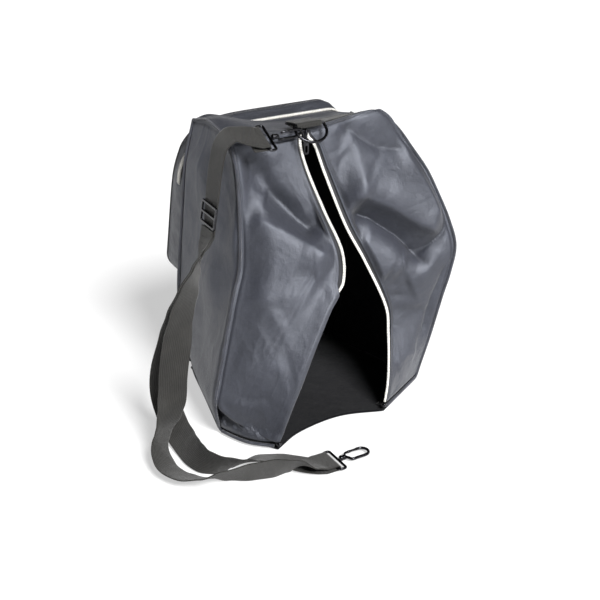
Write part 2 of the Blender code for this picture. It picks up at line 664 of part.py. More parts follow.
def add_barrel(body, centre, start, end):
    """Joins a turned barrel to the hook's wire as one solid."""
    graph = bpy.context.evaluated_depsgraph_get()
    wire = bpy.data.meshes.new_from_object(body.evaluated_get(graph))
    mesh = bmesh.new()
    mesh.from_mesh(wire)
    bmesh.ops.remove_doubles(mesh, verts=mesh.verts, dist=1e-6)
    mesh.to_mesh(wire)
    mesh.free()
    name, matrix = body.name, body.matrix_world.copy()
    bpy.data.objects.remove(body, do_unlink=True)
    solid = bpy.data.objects.new(name, wire)
    solid.name = name
    BAG.objects.link(solid)
    solid.matrix_world = matrix
    wire.materials.clear()
    wire.materials.append(MATERIALS["gunmetal"])

    barrel = bmesh.new()
    turn = Matrix.Rotation(math.radians(90), 4, "Y")
    place = Matrix.Translation(centre + Vector(((start + end) / 2, 0.0, 0.0))) @ turn
    bmesh.ops.create_cone(
        barrel, cap_ends=True, segments=12, radius1=0.0040, radius2=0.0034, depth=end - start, matrix=place
    )
    data = bpy.data.meshes.new(name + "_barrel")
    barrel.to_mesh(data)
    barrel.free()
    helper = bpy.data.objects.new(name + "_barrel", data)
    HELPERS.objects.link(helper)
    helper.hide_render = True
    helper.display_type = "WIRE"
    joined = solid.modifiers.new("barrel", "BOOLEAN")
    joined.operation = "UNION"
    joined.object = helper
    return solid


def build_strap():
    """One length of webbing: sewn round the front hook's eye, down past the adjuster, round the loose
    hook's eye, and back up to its sewn end just below the adjuster."""
    radius = EYE_WIRE_RADIUS + 0.0005 + WEBBING / 2
    forward = Vector((1.0, 0.0, 0.0))

    centre, _, width = HOOK_A_FRAME
    width = width.normalized()
    up = forward.cross(width)
    up = up if up.z > 0 else -up
    bar = centre - forward * HOOK_EYE_HALF[0]
    sewn = [(bar - forward * 0.020 - up * 0.0024, width), (bar - forward * 0.010 - up * 0.0026, width)]
    front_turn = [*sewn, *reversed(strap_turn(bar, forward, up, width, radius))]

    centre, _, width = HOOK_B_FRAME
    bar = centre - forward * HOOK_EYE_HALF[0]
    loose_turn = strap_turn(bar, forward, Vector((0.0, 0.0, 1.0)), -width.normalized(), radius)

    descent = strap_run([*STRAP_TO_ADJUSTER, *STRAP_FRONT_STRAND], 86)
    ribbon("shoulder_strap", [*front_turn, *descent, *loose_turn, *strap_run(STRAP_BACK_STRAND, 62)])


def build_triglide():
    """The strap's length adjuster: a frame with a bar across its middle, standing just off the webbing."""
    direction = (Vector(STRAP_TO_ADJUSTER[-1][0]) - Vector(STRAP_TO_ADJUSTER[-2][0])).normalized()
    width = Vector((0.05, 1.0, 0.0)).normalized()
    outward = direction.cross(width).normalized()
    if outward.x > 0:
        outward.negate()
    place = TRIGLIDE_PLACE + outward * (WEBBING / 2 + TRIGLIDE_THICKNESS / 2 + 0.0012)
    half_x, half_y = TRIGLIDE_HALF
    bar = 0.0035
    outline = rounded_rectangle(half_x, half_y, 0.004, 3)
    slot_half = (half_y - 1.5 * bar) / 2
    holes = [
        rounded_rectangle(half_x - bar, slot_half, 0.0015, 2, (0.0, sign * (bar / 2 + slot_half)))[::-1]
        for sign in (-1, 1)
    ]
    frame = frame_matrix(place, width, -direction)
    pivot("strap_triglide", place, flat_plate("strap_triglide", outline, TRIGLIDE_THICKNESS, frame, "gunmetal", holes))


def build_hardware():
    pivot("front_d_ring", FRONT_RING_BAR, d_ring("front_d_ring", FRONT_RING_BAR, FRONT_RING_HANG))
    ring_tab("front_ring_tab", FRONT_RING_X, FRONT_RING_BAR.y, FRONT_RING_BAR.z, ((-0.032, 0.4037), (-0.032, 0.4062)))
    pivot("rear_d_ring", REAR_RING_BAR, d_ring("rear_d_ring", REAR_RING_BAR, REAR_RING_HANG))
    ring_tab("rear_ring_tab", 0.0, REAR_RING_BAR.y, REAR_RING_BAR.z, ((0.1042, 0.3830), (0.1064, 0.3830)))
    snap_hook("front_hook", HOOK_A_FRAME)
    snap_hook("loose_hook", HOOK_B_FRAME)

    slider_place = Vector((ZIP_TOP_X, -0.0600, 0.3955))
    upright = frame_matrix(slider_place, Vector((1.0, 0.0, 0.0)), Vector((0.0, 0.0, 1.0)))
    block("main_zip_slider", (0.0090, 0.0110, 0.0040), upright, "gunmetal", taper=0.75)
    hang = slider_place + Vector((0.0, -0.0034, -PULLER_DROP))
    tab = puller("main_zip_puller", frame_matrix(hang, Vector((1.0, 0.0, 0.0)), Vector((0.0, 0.0, 1.0))))
    pivot("main_zip_puller", hang, tab)


def main():
    edges = {
        "top_front": smooth_line(TOP_FRONT, 60),
        "left_seam": smooth_line(LEFT_SEAM, 60),
        "right_seam": smooth_line(RIGHT_SEAM, 60),
        "left_back": smooth_line(LEFT_BACK, 60),
        "right_back": smooth_line(RIGHT_BACK, 60),
        "left_zip": smooth_line(LEFT_ZIP_EDGE, 80),
        "right_zip": smooth_line(RIGHT_ZIP_EDGE, 80),
    }
    build_shell(edges)
    build_base(edges)
    build_flap("left", edges, 0.42)
    build_flap("right", edges, 0.34)
    build_piping(edges)
    build_pocket()
    build_hardware()
    build_triglide()
    build_strap()


clear_scene()
BAG = bpy.data.collections.new("shoe_bag")
HELPERS = bpy.data.collections.new("helpers")
bpy.context.scene.collection.children.link(BAG)
bpy.context.scene.collection.children.link(HELPERS)
MATERIALS = {name: make_material(name) for name in COLOURS}
main()
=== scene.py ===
"""The soft shoe bag as it looks in use: coated nylon panels with folds and wrinkles, piped seams, white coil
zips, ribbed webbing and plated wire hardware. Metres, +Z up, the zip side faces -Y and the bag stands on z = 0."""

import math

import bpy
import numpy as np
from mathutils import Matrix, Vector


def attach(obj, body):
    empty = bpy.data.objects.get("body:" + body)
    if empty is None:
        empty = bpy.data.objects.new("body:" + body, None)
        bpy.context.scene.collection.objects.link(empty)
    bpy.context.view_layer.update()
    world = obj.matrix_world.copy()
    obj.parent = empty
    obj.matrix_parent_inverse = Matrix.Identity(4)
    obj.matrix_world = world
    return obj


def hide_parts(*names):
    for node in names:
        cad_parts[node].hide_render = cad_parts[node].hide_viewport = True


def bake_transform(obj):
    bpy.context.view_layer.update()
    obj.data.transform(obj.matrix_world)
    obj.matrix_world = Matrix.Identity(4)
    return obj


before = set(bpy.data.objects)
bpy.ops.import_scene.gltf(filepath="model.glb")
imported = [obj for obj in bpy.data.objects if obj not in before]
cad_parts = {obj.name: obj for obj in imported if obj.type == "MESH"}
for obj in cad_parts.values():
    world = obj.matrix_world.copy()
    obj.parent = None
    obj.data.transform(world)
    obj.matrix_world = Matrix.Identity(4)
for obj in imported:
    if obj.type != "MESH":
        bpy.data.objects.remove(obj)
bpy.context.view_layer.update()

# ---------------------------------------------------------------- driving dimensions
TOP_HALF_WIDTH = 0.1175
FABRIC = 0.0016  # coated nylon with its lining
GAP = 0.0012  # clearance between neighbouring sheets
PIPING_RADIUS = 0.0020
WEBBING_WIDTH = 0.038
WEBBING = 0.0015
WIRE_RADIUS = 0.0020  # rings and hooks
EYE_WIRE_RADIUS = 0.0018
RING_HALF_WIDTH = 0.023
RING_DEPTH = 0.028
POCKET_DEPTH = (0.042, 0.056)  # at the top, at the bottom
POCKET_HALF_WIDTH = (0.128, 0.136)  # at the top, at the bottom
POCKET_TOP = 0.389
POCKET_BOTTOM = 0.152
POCKET_CORNER = 0.032
POCKET_ZIP_WIDTH = 0.012
POCKET_ZIP_END = 0.297  # height at which the pocket's zip ends on both sides
PULLER_DROP = 0.0095  # from a slider's centre down to its puller's pivot
WEBBING_STITCH_LIFT = WEBBING / 2 + 0.0002
ZIP_TOP_X = -0.010
FRONT_RING_X = -0.006
BAND_SPAN = ((0.573, 0.945), (0.075, 0.440))  # of the top panel, from the left and from the front

FORWARD = np.array((1.0, 0.0, 0.0))
UP = np.array((0.0, 0.0, 1.0))
BACK = np.array((0.0, 1.0, 0.0))

# ---------------------------------------------------------------- seams and strap route
TOP_FRONT = [(-0.1175, -0.050, 0.400), (-0.060, -0.053, 0.399), (0.000, -0.054, 0.399), (0.119, -0.050, 0.403)]
LEFT_SEAM = [
    (-0.1175, -0.050, 0.400), (-0.113, -0.062, 0.350), (-0.120, -0.078, 0.243), (-0.139, -0.090, 0.190),
    (-0.170, -0.104, 0.084), (-0.177, -0.105, 0.046), (-0.166, -0.097, 0.009),
]
RIGHT_SEAM = [
    (0.119, -0.050, 0.403), (0.147, -0.064, 0.367), (0.176, -0.080, 0.322), (0.198, -0.115, 0.245),
    (0.200, -0.126, 0.205), (0.184, -0.124, 0.142), (0.168, -0.114, 0.060), (0.155, -0.108, 0.009),
]
LEFT_BACK = [
    (-0.1175, 0.050, 0.394), (-0.130, 0.058, 0.290), (-0.142, 0.074, 0.155), (-0.138, 0.082, 0.070),
    (-0.122, 0.086, 0.007),
]
RIGHT_BACK = [
    (0.126, 0.050, 0.388), (0.133, 0.058, 0.290), (0.142, 0.074, 0.155), (0.137, 0.082, 0.070),
    (0.122, 0.086, 0.007),
]
LEFT_ZIP_EDGE = [
    (-0.016, -0.057, 0.388), (-0.017, -0.063, 0.372), (-0.014, -0.078, 0.343), (-0.006, -0.106, 0.298),
    (0.001, -0.140, 0.252), (-0.008, -0.157, 0.212), (-0.034, -0.168, 0.183), (-0.063, -0.178, 0.139),
    (-0.089, -0.183, 0.088), (-0.119, -0.177, 0.009),
]
RIGHT_ZIP_EDGE = [
    (-0.003, -0.057, 0.388), (0.005, -0.060, 0.376), (0.017, -0.068, 0.335), (0.038, -0.088, 0.265),
    (0.062, -0.102, 0.212), (0.088, -0.118, 0.145), (0.088, -0.128, 0.105), (0.072, -0.155, 0.050),
    (0.062, -0.162, 0.009),
]
STRAP_TO_ADJUSTER = [
    ((-0.0860, -0.0711, 0.4036), (0.0, 0.88, 0.47)),
    ((-0.0930, -0.0690, 0.4055), (0.0, 0.90, 0.43)),
    ((-0.1040, -0.0625, 0.4080), (0.0, 0.94, 0.33)),
    ((-0.1180, -0.0570, 0.4085), (0.0, 0.98, 0.18)),
    ((-0.1310, -0.0530, 0.3960), (0.0, 1.0, 0.04)),
    ((-0.1380, -0.0520, 0.3700), (0.0, 1.0, 0.0)),
    ((-0.1435, -0.0525, 0.3400), (0.0, 1.0, 0.0)),
    ((-0.1490, -0.0545, 0.3070), (0.05, 1.0, 0.0)),
]
STRAP_FRONT_STRAND = [
    ((-0.1535, -0.0565, 0.2800), (0.10, 1.0, 0.0)),
    ((-0.1580, -0.0580, 0.2700), (0.22, 0.97, 0.0)),
    ((-0.1680, -0.0630, 0.2530), (0.50, 0.866, 0.0)),
    ((-0.1800, -0.0710, 0.2360), (0.72, 0.69, 0.0)),
    ((-0.1965, -0.0800, 0.2120), (0.91, 0.42, 0.0)),
    ((-0.2120, -0.0870, 0.1840), (0.98, 0.20, 0.0)),
    ((-0.2250, -0.0930, 0.1390), (0.92, -0.38, 0.0)),
    ((-0.2320, -0.0965, 0.1070), (0.88, -0.47, 0.0)),
    ((-0.2360, -0.1000, 0.0800), (0.93, -0.35, -0.10)),
    ((-0.2430, -0.1040, 0.0570), (0.92, 0.10, -0.33)),
    ((-0.2530, -0.1060, 0.0370), (0.72, 0.42, -0.54)),
    ((-0.2620, -0.1140, 0.0215), (0.74, 0.50, -0.48)),
    ((-0.2690, -0.1380, 0.0118), (0.83, 0.36, -0.40)),
    ((-0.2691, -0.1627, 0.0090), (0.86, 0.38, -0.33)),
    ((-0.2596, -0.1850, 0.0090), (0.73, 0.60, -0.32)),
    ((-0.2419, -0.2035, 0.0115), (0.40, 0.77, -0.50)),
    ((-0.2180, -0.2190, 0.0170), (0.16, 0.60, -0.78)),
    ((-0.1857, -0.2309, 0.0193), (0.10, 0.38, -0.92)),
    ((-0.1600, -0.2370, 0.0190), (0.08, 0.35, -0.93)),
    ((-0.1330, -0.2425, 0.0170), (0.05, 0.60, -0.80)),
    ((-0.1070, -0.2435, 0.0118), (0.0, 0.985, -0.17)),
    ((-0.0900, -0.2420, 0.0086), (0.0, 1.0, 0.0)),
]
STRAP_BACK_STRAND = [
    ((-0.0900, -0.2415, 0.0022), (0.0, 1.0, 0.0)),
    ((-0.1060, -0.2300, 0.0030), (0.02, 1.0, -0.01)),
    ((-0.1280, -0.2070, 0.0044), (0.04, 0.99, -0.06)),
    ((-0.1490, -0.1960, 0.0076), (0.10, 0.96, -0.24)),
    ((-0.1710, -0.1960, 0.0108), (0.16, 0.86, -0.47)),
    ((-0.1900, -0.1990, 0.0150), (0.18, 0.70, -0.69)),
    ((-0.2070, -0.1965, 0.0180), (0.12, 0.50, -0.86)),
    ((-0.2225, -0.1860, 0.0194), (-0.10, 0.34, -0.93)),
    ((-0.2310, -0.1660, 0.0194), (-0.37, 0.22, -0.90)),
    ((-0.2310, -0.1380, 0.0170), (-0.60, -0.16, -0.78)),
    ((-0.2280, -0.1120, 0.0160), (-0.72, -0.14, -0.68)),
    ((-0.2270, -0.0850, 0.0205), (-0.76, -0.08, -0.65)),
    ((-0.2285, -0.0660, 0.0400), (-0.78, 0.18, -0.60)),
    ((-0.2310, -0.0590, 0.0680), (-0.86, 0.42, -0.28)),
    ((-0.2275, -0.0590, 0.1000), (-0.88, 0.47, 0.0)),
    ((-0.2170, -0.0640, 0.1400), (-0.90, 0.44, 0.0)),
    ((-0.2090, -0.0710, 0.1840), (-0.98, -0.15, 0.0)),
    ((-0.1990, -0.0735, 0.2120), (-0.89, -0.46, 0.0)),
    ((-0.1828, -0.0681, 0.2360), (-0.72, -0.69, 0.0)),
    ((-0.1711, -0.0612, 0.2530), (-0.50, -0.866, 0.0)),
    ((-0.1615, -0.0572, 0.2700), (-0.22, -0.97, 0.0)),
    ((-0.1571, -0.0561, 0.2800), (-0.10, -1.0, 0.0)),
    ((-0.1556, -0.0556, 0.2878), (-0.08, -1.0, 0.0)),
]

# ---------------------------------------------------------------- lines and surfaces
def at(line, t):
    """Points at fractions t of a line's length."""
    spans = np.r_[0.0, np.cumsum(np.linalg.norm(np.diff(line, axis=0), axis=1))]
    t = np.clip(np.asarray(t, float), 0.0, 1.0) * spans[-1]
    return np.stack([np.interp(t, spans, line[:, k]) for k in range(3)], axis=-1)


def resample(line, count, start=0.0, end=1.0):
    return at(np.asarray(line, float), np.linspace(start, end, count))


def smooth_line(points, count, closed=False):
    """`count` evenly spaced points on a Catmull-Rom curve through `points`."""
    points = np.array([tuple(p) for p in points], float)
    if closed:
        padded = np.vstack([points[-1], points, points[0], points[1]])
    else:
        padded = np.vstack([2 * points[0] - points[1], points, 2 * points[-1] - points[-2]])
    t = np.linspace(0.0, 1.0, 20, endpoint=False)[:, None]
    dense = [
        0.5 * (2 * b + (c - a) * t + (2 * a - 5 * b + 4 * c - d) * t**2 + (3 * b - a - 3 * c + d) * t**3)
        for a, b, c, d in zip(padded, padded[1:], padded[2:], padded[3:])
    ]
    return resample(np.vstack([*dense, padded[-2]]), count)


def length_of(line):
    return float(np.linalg.norm(np.diff(line, axis=0), axis=1).sum())


def unit(v):
    v = np.asarray(v, float)
    return v / np.maximum(np.linalg.norm(v, axis=-1, keepdims=True), 1e-12)


def ramp(x, low, high):
    """Smooth step from 0 at low to 1 at high."""
    t = np.clip((np.asarray(x, float) - low) / (high - low), 0.0, 1.0)
    return t * t * (3 - 2 * t)


def coons(top, bottom, left, right):
    """A surface through four edge lines; s runs left to right and t from top to bottom."""
    edges = (top, bottom, left, right)
    top, bottom, left, right = (np.array([tuple(p) for p in line], float) for line in edges)

    def surface(s, t):
        s, t = np.broadcast_arrays(np.asarray(s, float), np.asarray(t, float))
        rows, cols = t[..., None], s[..., None]
        rule_t = at(top, s) * (1 - rows) + at(bottom, s) * rows
        rule_s = at(left, t) * (1 - cols) + at(right, t) * cols
        corners = (top[0] * (1 - cols) + top[-1] * cols) * (1 - rows)
        corners = corners + (bottom[0] * (1 - cols) + bottom[-1] * cols) * rows
        return rule_t + rule_s - corners

    return surface


def normals_of(points, outward):
    """Unit normals of a grid of points, on the side of the outward direction."""
    along, down = np.gradient(points, axis=1), np.gradient(points, axis=0)
    normals = unit(np.cross(along, down))
    if (normals @ np.asarray(outward, float)).mean() < 0:
        normals = -normals
    return normals


def distances(points):
    """Metres along the rows and down the columns of a grid, from its middle lines."""
    across = np.linalg.norm(np.diff(points, axis=1), axis=2).mean(axis=0)
    down = np.linalg.norm(np.diff(points, axis=0), axis=2).mean(axis=1)
    u, v = np.r_[0.0, np.cumsum(across)], np.r_[0.0, np.cumsum(down)]
    return np.meshgrid(u, v)


# ---------------------------------------------------------------- wrinkles
def cells(u, v, seed):
    """Smooth noise between -1 and 1 on a plane, with unit cells."""
    table = np.random.default_rng(seed).uniform(-1.0, 1.0, (64, 64))
    iu, iv = np.floor(u).astype(int), np.floor(v).astype(int)
    fu, fv = u - iu, v - iv
    fu, fv = fu**3 * (fu * (fu * 6 - 15) + 10), fv**3 * (fv * (fv * 6 - 15) + 10)
    iu, iv, ju, jv = iu % 64, iv % 64, (iu + 1) % 64, (iv + 1) % 64
    upper = table[iu, iv] * (1 - fu) + table[ju, iv] * fu
    lower = table[iu, jv] * (1 - fu) + table[ju, jv] * fu
    return upper * (1 - fv) + lower * fv


def swell(u, v, size, seed, octaves=3):
    """Rounded unevenness, about 1 high."""
    total, scale = 0.0, 1.0
    for octave in range(octaves):
        total = total + cells(u / size * 2**octave, v / size * 2**octave, seed + octave) * scale
        scale *= 0.5
    return total


def creases(u, v, size, seed, stretch=1.0, angle=0.0):
    """Sharp-crested, meandering wrinkles between 0 and 1, stretched along a direction given in degrees."""
    c, s = math.cos(math.radians(angle)), math.sin(math.radians(angle))
    along, over = (u * c + v * s) / (size * stretch), (-u * s + v * c) / size
    warp = cells(along * 0.7, over * 0.7, seed + 50)
    warp_over = cells(along * 0.7, over * 0.7, seed + 60)
    first = 1 - np.abs(cells(along + warp, over + warp_over, seed))
    second = 1 - np.abs(cells(along * 2.1 + warp, over * 2.1 - warp_over, seed + 9))
    return 0.7 * first**3 + 0.3 * second**3


CREASE_MEAN = 0.4  # of the wrinkles' height, about
FOLD_END = 0.18  # share of a fold's length over which it dies out at each end


class Cloth:
    """A grid of points over part of a surface, that folds and wrinkles are pressed into."""

    def __init__(self, surface, s_range, t_range, shape, outward):
        columns, rows = shape
        spread = np.linspace(0.0, 1.0, columns)[None, :]
        low, high = t_range
        high = high(spread) if callable(high) else high
        t = low + (high - low) * np.linspace(0.0, 1.0, rows)[:, None] + 0 * spread
        low, high = s_range
        high = high(t) if callable(high) else high
        s = low + (high - low) * spread + 0 * t
        self.surface, self.s, self.t = surface, s, t
        self.points = surface(s, t)
        self.normals = normals_of(self.points, outward)
        self.u, self.v = distances(self.points)
        self.rise = np.zeros(s.shape)

    def fade(self, left=0.0, right=0.0, top=0.0, bottom=0.0):
        """0 at the chosen edges, rising to 1 at that many metres in from them."""
        mask = np.ones(self.u.shape)
        if left:
            mask = mask * ramp(self.u, 0.0, left)
        if right:
            mask = mask * ramp(self.u.max() - self.u, 0.0, right)
        if top:
            mask = mask * ramp(self.v, 0.0, top)
        if bottom:
            mask = mask * ramp(self.v.max() - self.v, 0.0, bottom)
        return mask

    def fold(self, route, height, left, right, sharp):
        """Raises or sinks the cloth along a route of (s, t) points. left and right are the widths of
        the slopes beside it, as one travels along it; a small sharp gives it a keen crest."""
        route = np.array(route, float)
        line = resample(self.surface(route[:, 0], route[:, 1]), 60)
        flat = self.points.reshape(-1, 3)
        best = np.full(len(flat), 1e9)
        side, place = np.zeros(len(flat)), np.zeros(len(flat))
        normals = self.normals.reshape(-1, 3)
        for k, (a, b) in enumerate(zip(line, line[1:])):
            along = b - a
            share = np.clip((flat - a) @ along / max(along @ along, 1e-12), 0.0, 1.0)
            off = flat - (a + share[:, None] * along)
            distance = np.linalg.norm(off, axis=1)
            nearer = distance < best
            best = np.where(nearer, distance, best)
            turn = np.einsum("ij,ij->i", np.cross(off, along), normals)
            side = np.where(nearer, turn, side)
            place = np.where(nearer, (k + share) / (len(line) - 1), place)
        width = np.where(side > 0, right, left)
        profile = np.exp(sharp - np.sqrt((best / width) ** 2 + sharp**2))
        profile = profile * ramp(place, 0.0, FOLD_END) * ramp(1 - place, 0.0, FOLD_END)
        self.rise += (height * profile).reshape(self.rise.shape)

    def swell(self, height, size, seed, ease=1.0):
        """Rounded unevenness all over, scaled by ease."""
        self.rise += height * ease * swell(self.u, self.v, size, seed)

    def wrinkle(self, height, size, seed, stretch, angle, ease=1.0):
        """Fine wrinkles all over, level with the cloth on the whole, scaled by ease."""
        self.rise += height * ease * (creases(self.u, self.v, size, seed, stretch, angle) - CREASE_MEAN)

    def dome(self, centre, size, height, angle=0.0):
        """A soft swelling or hollow about (s, t), with half sizes in metres along and across a direction."""
        place = self.surface(centre[0], centre[1])
        near = np.argmin(np.linalg.norm(self.points - place, axis=2))
        u0, v0 = self.u.flat[near], self.v.flat[near]
        c, s = math.cos(math.radians(angle)), math.sin(math.radians(angle))
        du, dv = self.u - u0, self.v - v0
        far = ((du * c + dv * s) / size[0]) ** 2 + ((-du * s + dv * c) / size[1]) ** 2
        self.rise += height * np.exp(-far)

    def result(self, mask=1.0):
        return self.points + self.normals * (self.rise * mask)[..., None]


# ---------------------------------------------------------------- meshes
def finish_object(name, data, body, replaces=()):
    thing = bpy.data.objects.new(name, data)
    bpy.context.scene.collection.objects.link(thing)
    if body:
        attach(thing, body)
    if replaces:
        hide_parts(*replaces)
    return thing


def mesh_object(name, points, faces, material, body="bag", slot=None, replaces=(), uv=None, smooth=True):
    """A mesh from flat arrays; uv holds one pair a vertex, in metres."""
    data = bpy.data.meshes.new(name)
    data.from_pydata([tuple(map(float, p)) for p in points], [], [tuple(map(int, f)) for f in faces])
    data.polygons.foreach_set("use_smooth", [smooth] * len(data.polygons))
    if uv is not None:
        layer = data.uv_layers.new(name="UVMap")
        corners = np.zeros(len(data.loops), int)
        data.loops.foreach_get("vertex_index", corners)
        layer.data.foreach_set("uv", np.asarray(uv, float)[corners].ravel())
    for one in material if isinstance(material, (list, tuple)) else [material]:
        data.materials.append(MATERIALS[one])
    data.update()
    return finish_object(name, data, body, replaces)


def grid_faces(rows, columns, closed=False, flip=False):
    index = np.arange(rows * columns).reshape(rows, columns)
    if closed:
        index = np.hstack([index, index[:, :1]])
    a, b, c, d = index[:-1, :-1], index[:-1, 1:], index[1:, 1:], index[1:, :-1]
    order = (a, d, c, b) if flip else (a, b, c, d)
    return np.stack(order, axis=-1).reshape(-1, 4)


def facing(points, normals):
    """Whether the faces of a grid must be flipped to look along its normals."""
    row, column = points.shape[0] // 2, points.shape[1] // 2
    a, b = points[row, column + 1] - points[row, column], points[row + 1, column] - points[row, column]
    return float(np.cross(a, b) @ normals[row, column]) < 0


def sheet_object(name, points, normals, materials, thickness=FABRIC, uv=None, closed=False, **others):
    """A grid of cloth with a thickness, half to each side; the second material is its inner face."""
    rows, columns = points.shape[:2]
    if uv is None:
        u, v = distances(points)
        uv = np.stack([u, v], axis=-1)
    flip = facing(points, normals)
    faces = grid_faces(rows, columns, closed, flip)
    thing = mesh_object(name, points.reshape(-1, 3), faces, materials, uv=uv.reshape(-1, 2), **others)
    solid = thing.modifiers.new("thickness", "SOLIDIFY")
    solid.thickness = thickness
    solid.offset = 0.0
    solid.use_even_offset = False
    solid.material_offset = len(thing.data.materials) - 1
    return thing


def wire_object(name, points, radius, material, closed=False, body="bag", replaces=(), sides=4):
    """A round wire or cord along points."""
    curve = bpy.data.curves.new(name, "CURVE")
    curve.dimensions = "3D"
    curve.bevel_depth = radius
    curve.bevel_resolution = sides
    curve.use_fill_caps = not closed
    spline = curve.splines.new("POLY")
    spline.points.add(len(points) - 1)
    for target, point in zip(spline.points, points):
        target.co = (*map(float, point), 1.0)
    spline.use_cyclic_u = closed
    spline.use_smooth = True
    curve.materials.append(MATERIALS[material])
    return finish_object(name, curve, body, replaces)


def scatter(name, template, faces, places, material, **others):
    """Copies of a small shape as one mesh. Each place is (centre, three axes as rows)."""
    points = [centre + template @ axes for centre, axes in places]
    count = len(template)
    loops = [tuple(np.array(face) + count * k) for k in range(len(places)) for face in faces]
    return mesh_object(name, np.vstack(points), loops, material, **others)


def bead(half_x, half_y, half_z, cut=0.35):
    """A block with all its edges cut off, as (points, faces)."""
    points, index = [], {}
    for axis in range(3):
        for signs in [(a, b, c) for a in (-1, 1) for b in (-1, 1) for c in (-1, 1)]:
            share = [1 - cut, 1 - cut, 1 - cut]
            share[axis] = 1.0
            index[(axis, signs)] = len(points)
            points.append([signs[k] * share[k] * (half_x, half_y, half_z)[k] for k in range(3)])
    faces = []
    for axis in range(3):
        one, two = [k for k in range(3) if k != axis]
        for sign in (-1, 1):
            ring = []
            for a, b in ((-1, -1), (1, -1), (1, 1), (-1, 1)):
                signs = [0, 0, 0]
                signs[axis], signs[one], signs[two] = sign, a, b
                ring.append(index[(axis, tuple(signs))])
            faces.append(ring)
        for a, b in ((-1, -1), (1, -1), (1, 1), (-1, 1)):
            low, high = [0, 0, 0], [0, 0, 0]
            low[one], low[two], low[axis] = a, b, -1
            high[one], high[two], high[axis] = a, b, 1
            low, high = tuple(low), tuple(high)
            faces.append([index[(one, low)], index[(one, high)], index[(two, high)], index[(two, low)]])
    for signs in [(a, b, c) for a in (-1, 1) for b in (-1, 1) for c in (-1, 1)]:
        faces.append([index[(0, signs)], index[(1, signs)], index[(2, signs)]])
    points = np.array(points, float)
    fixed = []
    for face in faces:
        corner = points[face]
        normal = np.cross(corner[1] - corner[0], corner[2] - corner[0])
        fixed.append(face if normal @ corner.mean(axis=0) > 0 else face[::-1])
    return points, fixed


def stitches(name, line, normals, body, slot, length=0.0030, pitch=0.0042, lift=0.0, material="thread"):
    """A run of stitches lying along a line."""
    total = length_of(line)
    count = max(int(total / pitch), 2)
    shares = (np.arange(count) + 0.5) / count
    centres = at(line, shares)
    ahead = unit(at(line, shares + 0.002) - at(line, shares - 0.002))
    index = np.clip((shares * (len(line) - 1)).round().astype(int), 0, len(line) - 1)
    up = unit(np.asarray(normals)[index])
    template, faces = bead(length / 2, 0.00028, 0.00028, 0.4)
    places = []
    for centre, x, z in zip(centres, ahead, up):
        y = unit(np.cross(z, x))
        places.append((centre + z * lift, np.array([x, y, np.cross(x, y)])))
    return scatter(name, template, faces, places, material, body=body, slot=slot)

# ---------------------------------------------------------------- materials
class Recipe:
    """A material's node tree, with short calls for the nodes it uses."""

    def __init__(self, name):
        self.material = bpy.data.materials.new(name)
        self.material.use_nodes = True
        self.tree = self.material.node_tree
        self.shader = self.tree.nodes["Principled BSDF"]
        self.place = self.add("ShaderNodeTexCoord")

    def add(self, kind, **settings):
        node = self.tree.nodes.new(kind)
        for key, value in settings.items():
            setattr(node, key, value)
        return node

    def link(self, output, target):
        self.tree.links.new(output, target)

    def set(self, **values):
        for key, value in values.items():
            self.shader.inputs[key.replace("_", " ")].default_value = value

    def noise(self, scale, detail=4.0, rough=0.55, distortion=0.0):
        node = self.add("ShaderNodeTexNoise")
        node.inputs["Scale"].default_value = scale
        node.inputs["Detail"].default_value = detail
        node.inputs["Roughness"].default_value = rough
        node.inputs["Distortion"].default_value = distortion
        self.link(self.place.outputs["Object"], node.inputs["Vector"])
        return node.outputs["Fac"]

    def bands(self, direction, period):
        """Parallel ribs across the UV map, with a period in metres."""
        node = self.add("ShaderNodeTexWave", bands_direction=direction)
        node.inputs["Scale"].default_value = math.pi / 10 / period
        self.link(self.place.outputs["UV"], node.inputs["Vector"])
        return node.outputs["Fac"]

    def math(self, operation, a, b):
        node = self.add("ShaderNodeMath", operation=operation)
        for socket, value in zip(node.inputs, (a, b)):
            if isinstance(value, (int, float)):
                socket.default_value = value
            else:
                self.link(value, socket)
        return node.outputs[0]

    def colour(self, factor, *stops):
        node = self.add("ShaderNodeValToRGB")
        ramp = node.color_ramp
        for element, (place, colour) in zip(ramp.elements, (stops[0], stops[-1])):
            element.position, element.color = place, (*colour, 1.0)
        for place, colour in stops[1:-1]:
            ramp.elements.new(place).color = (*colour, 1.0)
        self.link(factor, node.inputs["Fac"])
        self.link(node.outputs["Color"], self.shader.inputs["Base Color"])

    def roughness(self, factor, low, high):
        node = self.add("ShaderNodeMapRange")
        node.inputs["To Min"].default_value, node.inputs["To Max"].default_value = low, high
        self.link(factor, node.inputs["Value"])
        self.link(node.outputs["Result"], self.shader.inputs["Roughness"])

    def bump(self, *layers):
        """Each layer is (height output, depth in metres), the coarsest first."""
        before = None
        for height, depth in layers:
            node = self.add("ShaderNodeBump")
            node.inputs["Distance"].default_value = depth
            self.link(height, node.inputs["Height"])
            if before:
                self.link(before, node.inputs["Normal"])
            before = node.outputs["Normal"]
        self.link(before, self.shader.inputs["Normal"])


def shade(colour, factor):
    return tuple(channel * factor for channel in colour)


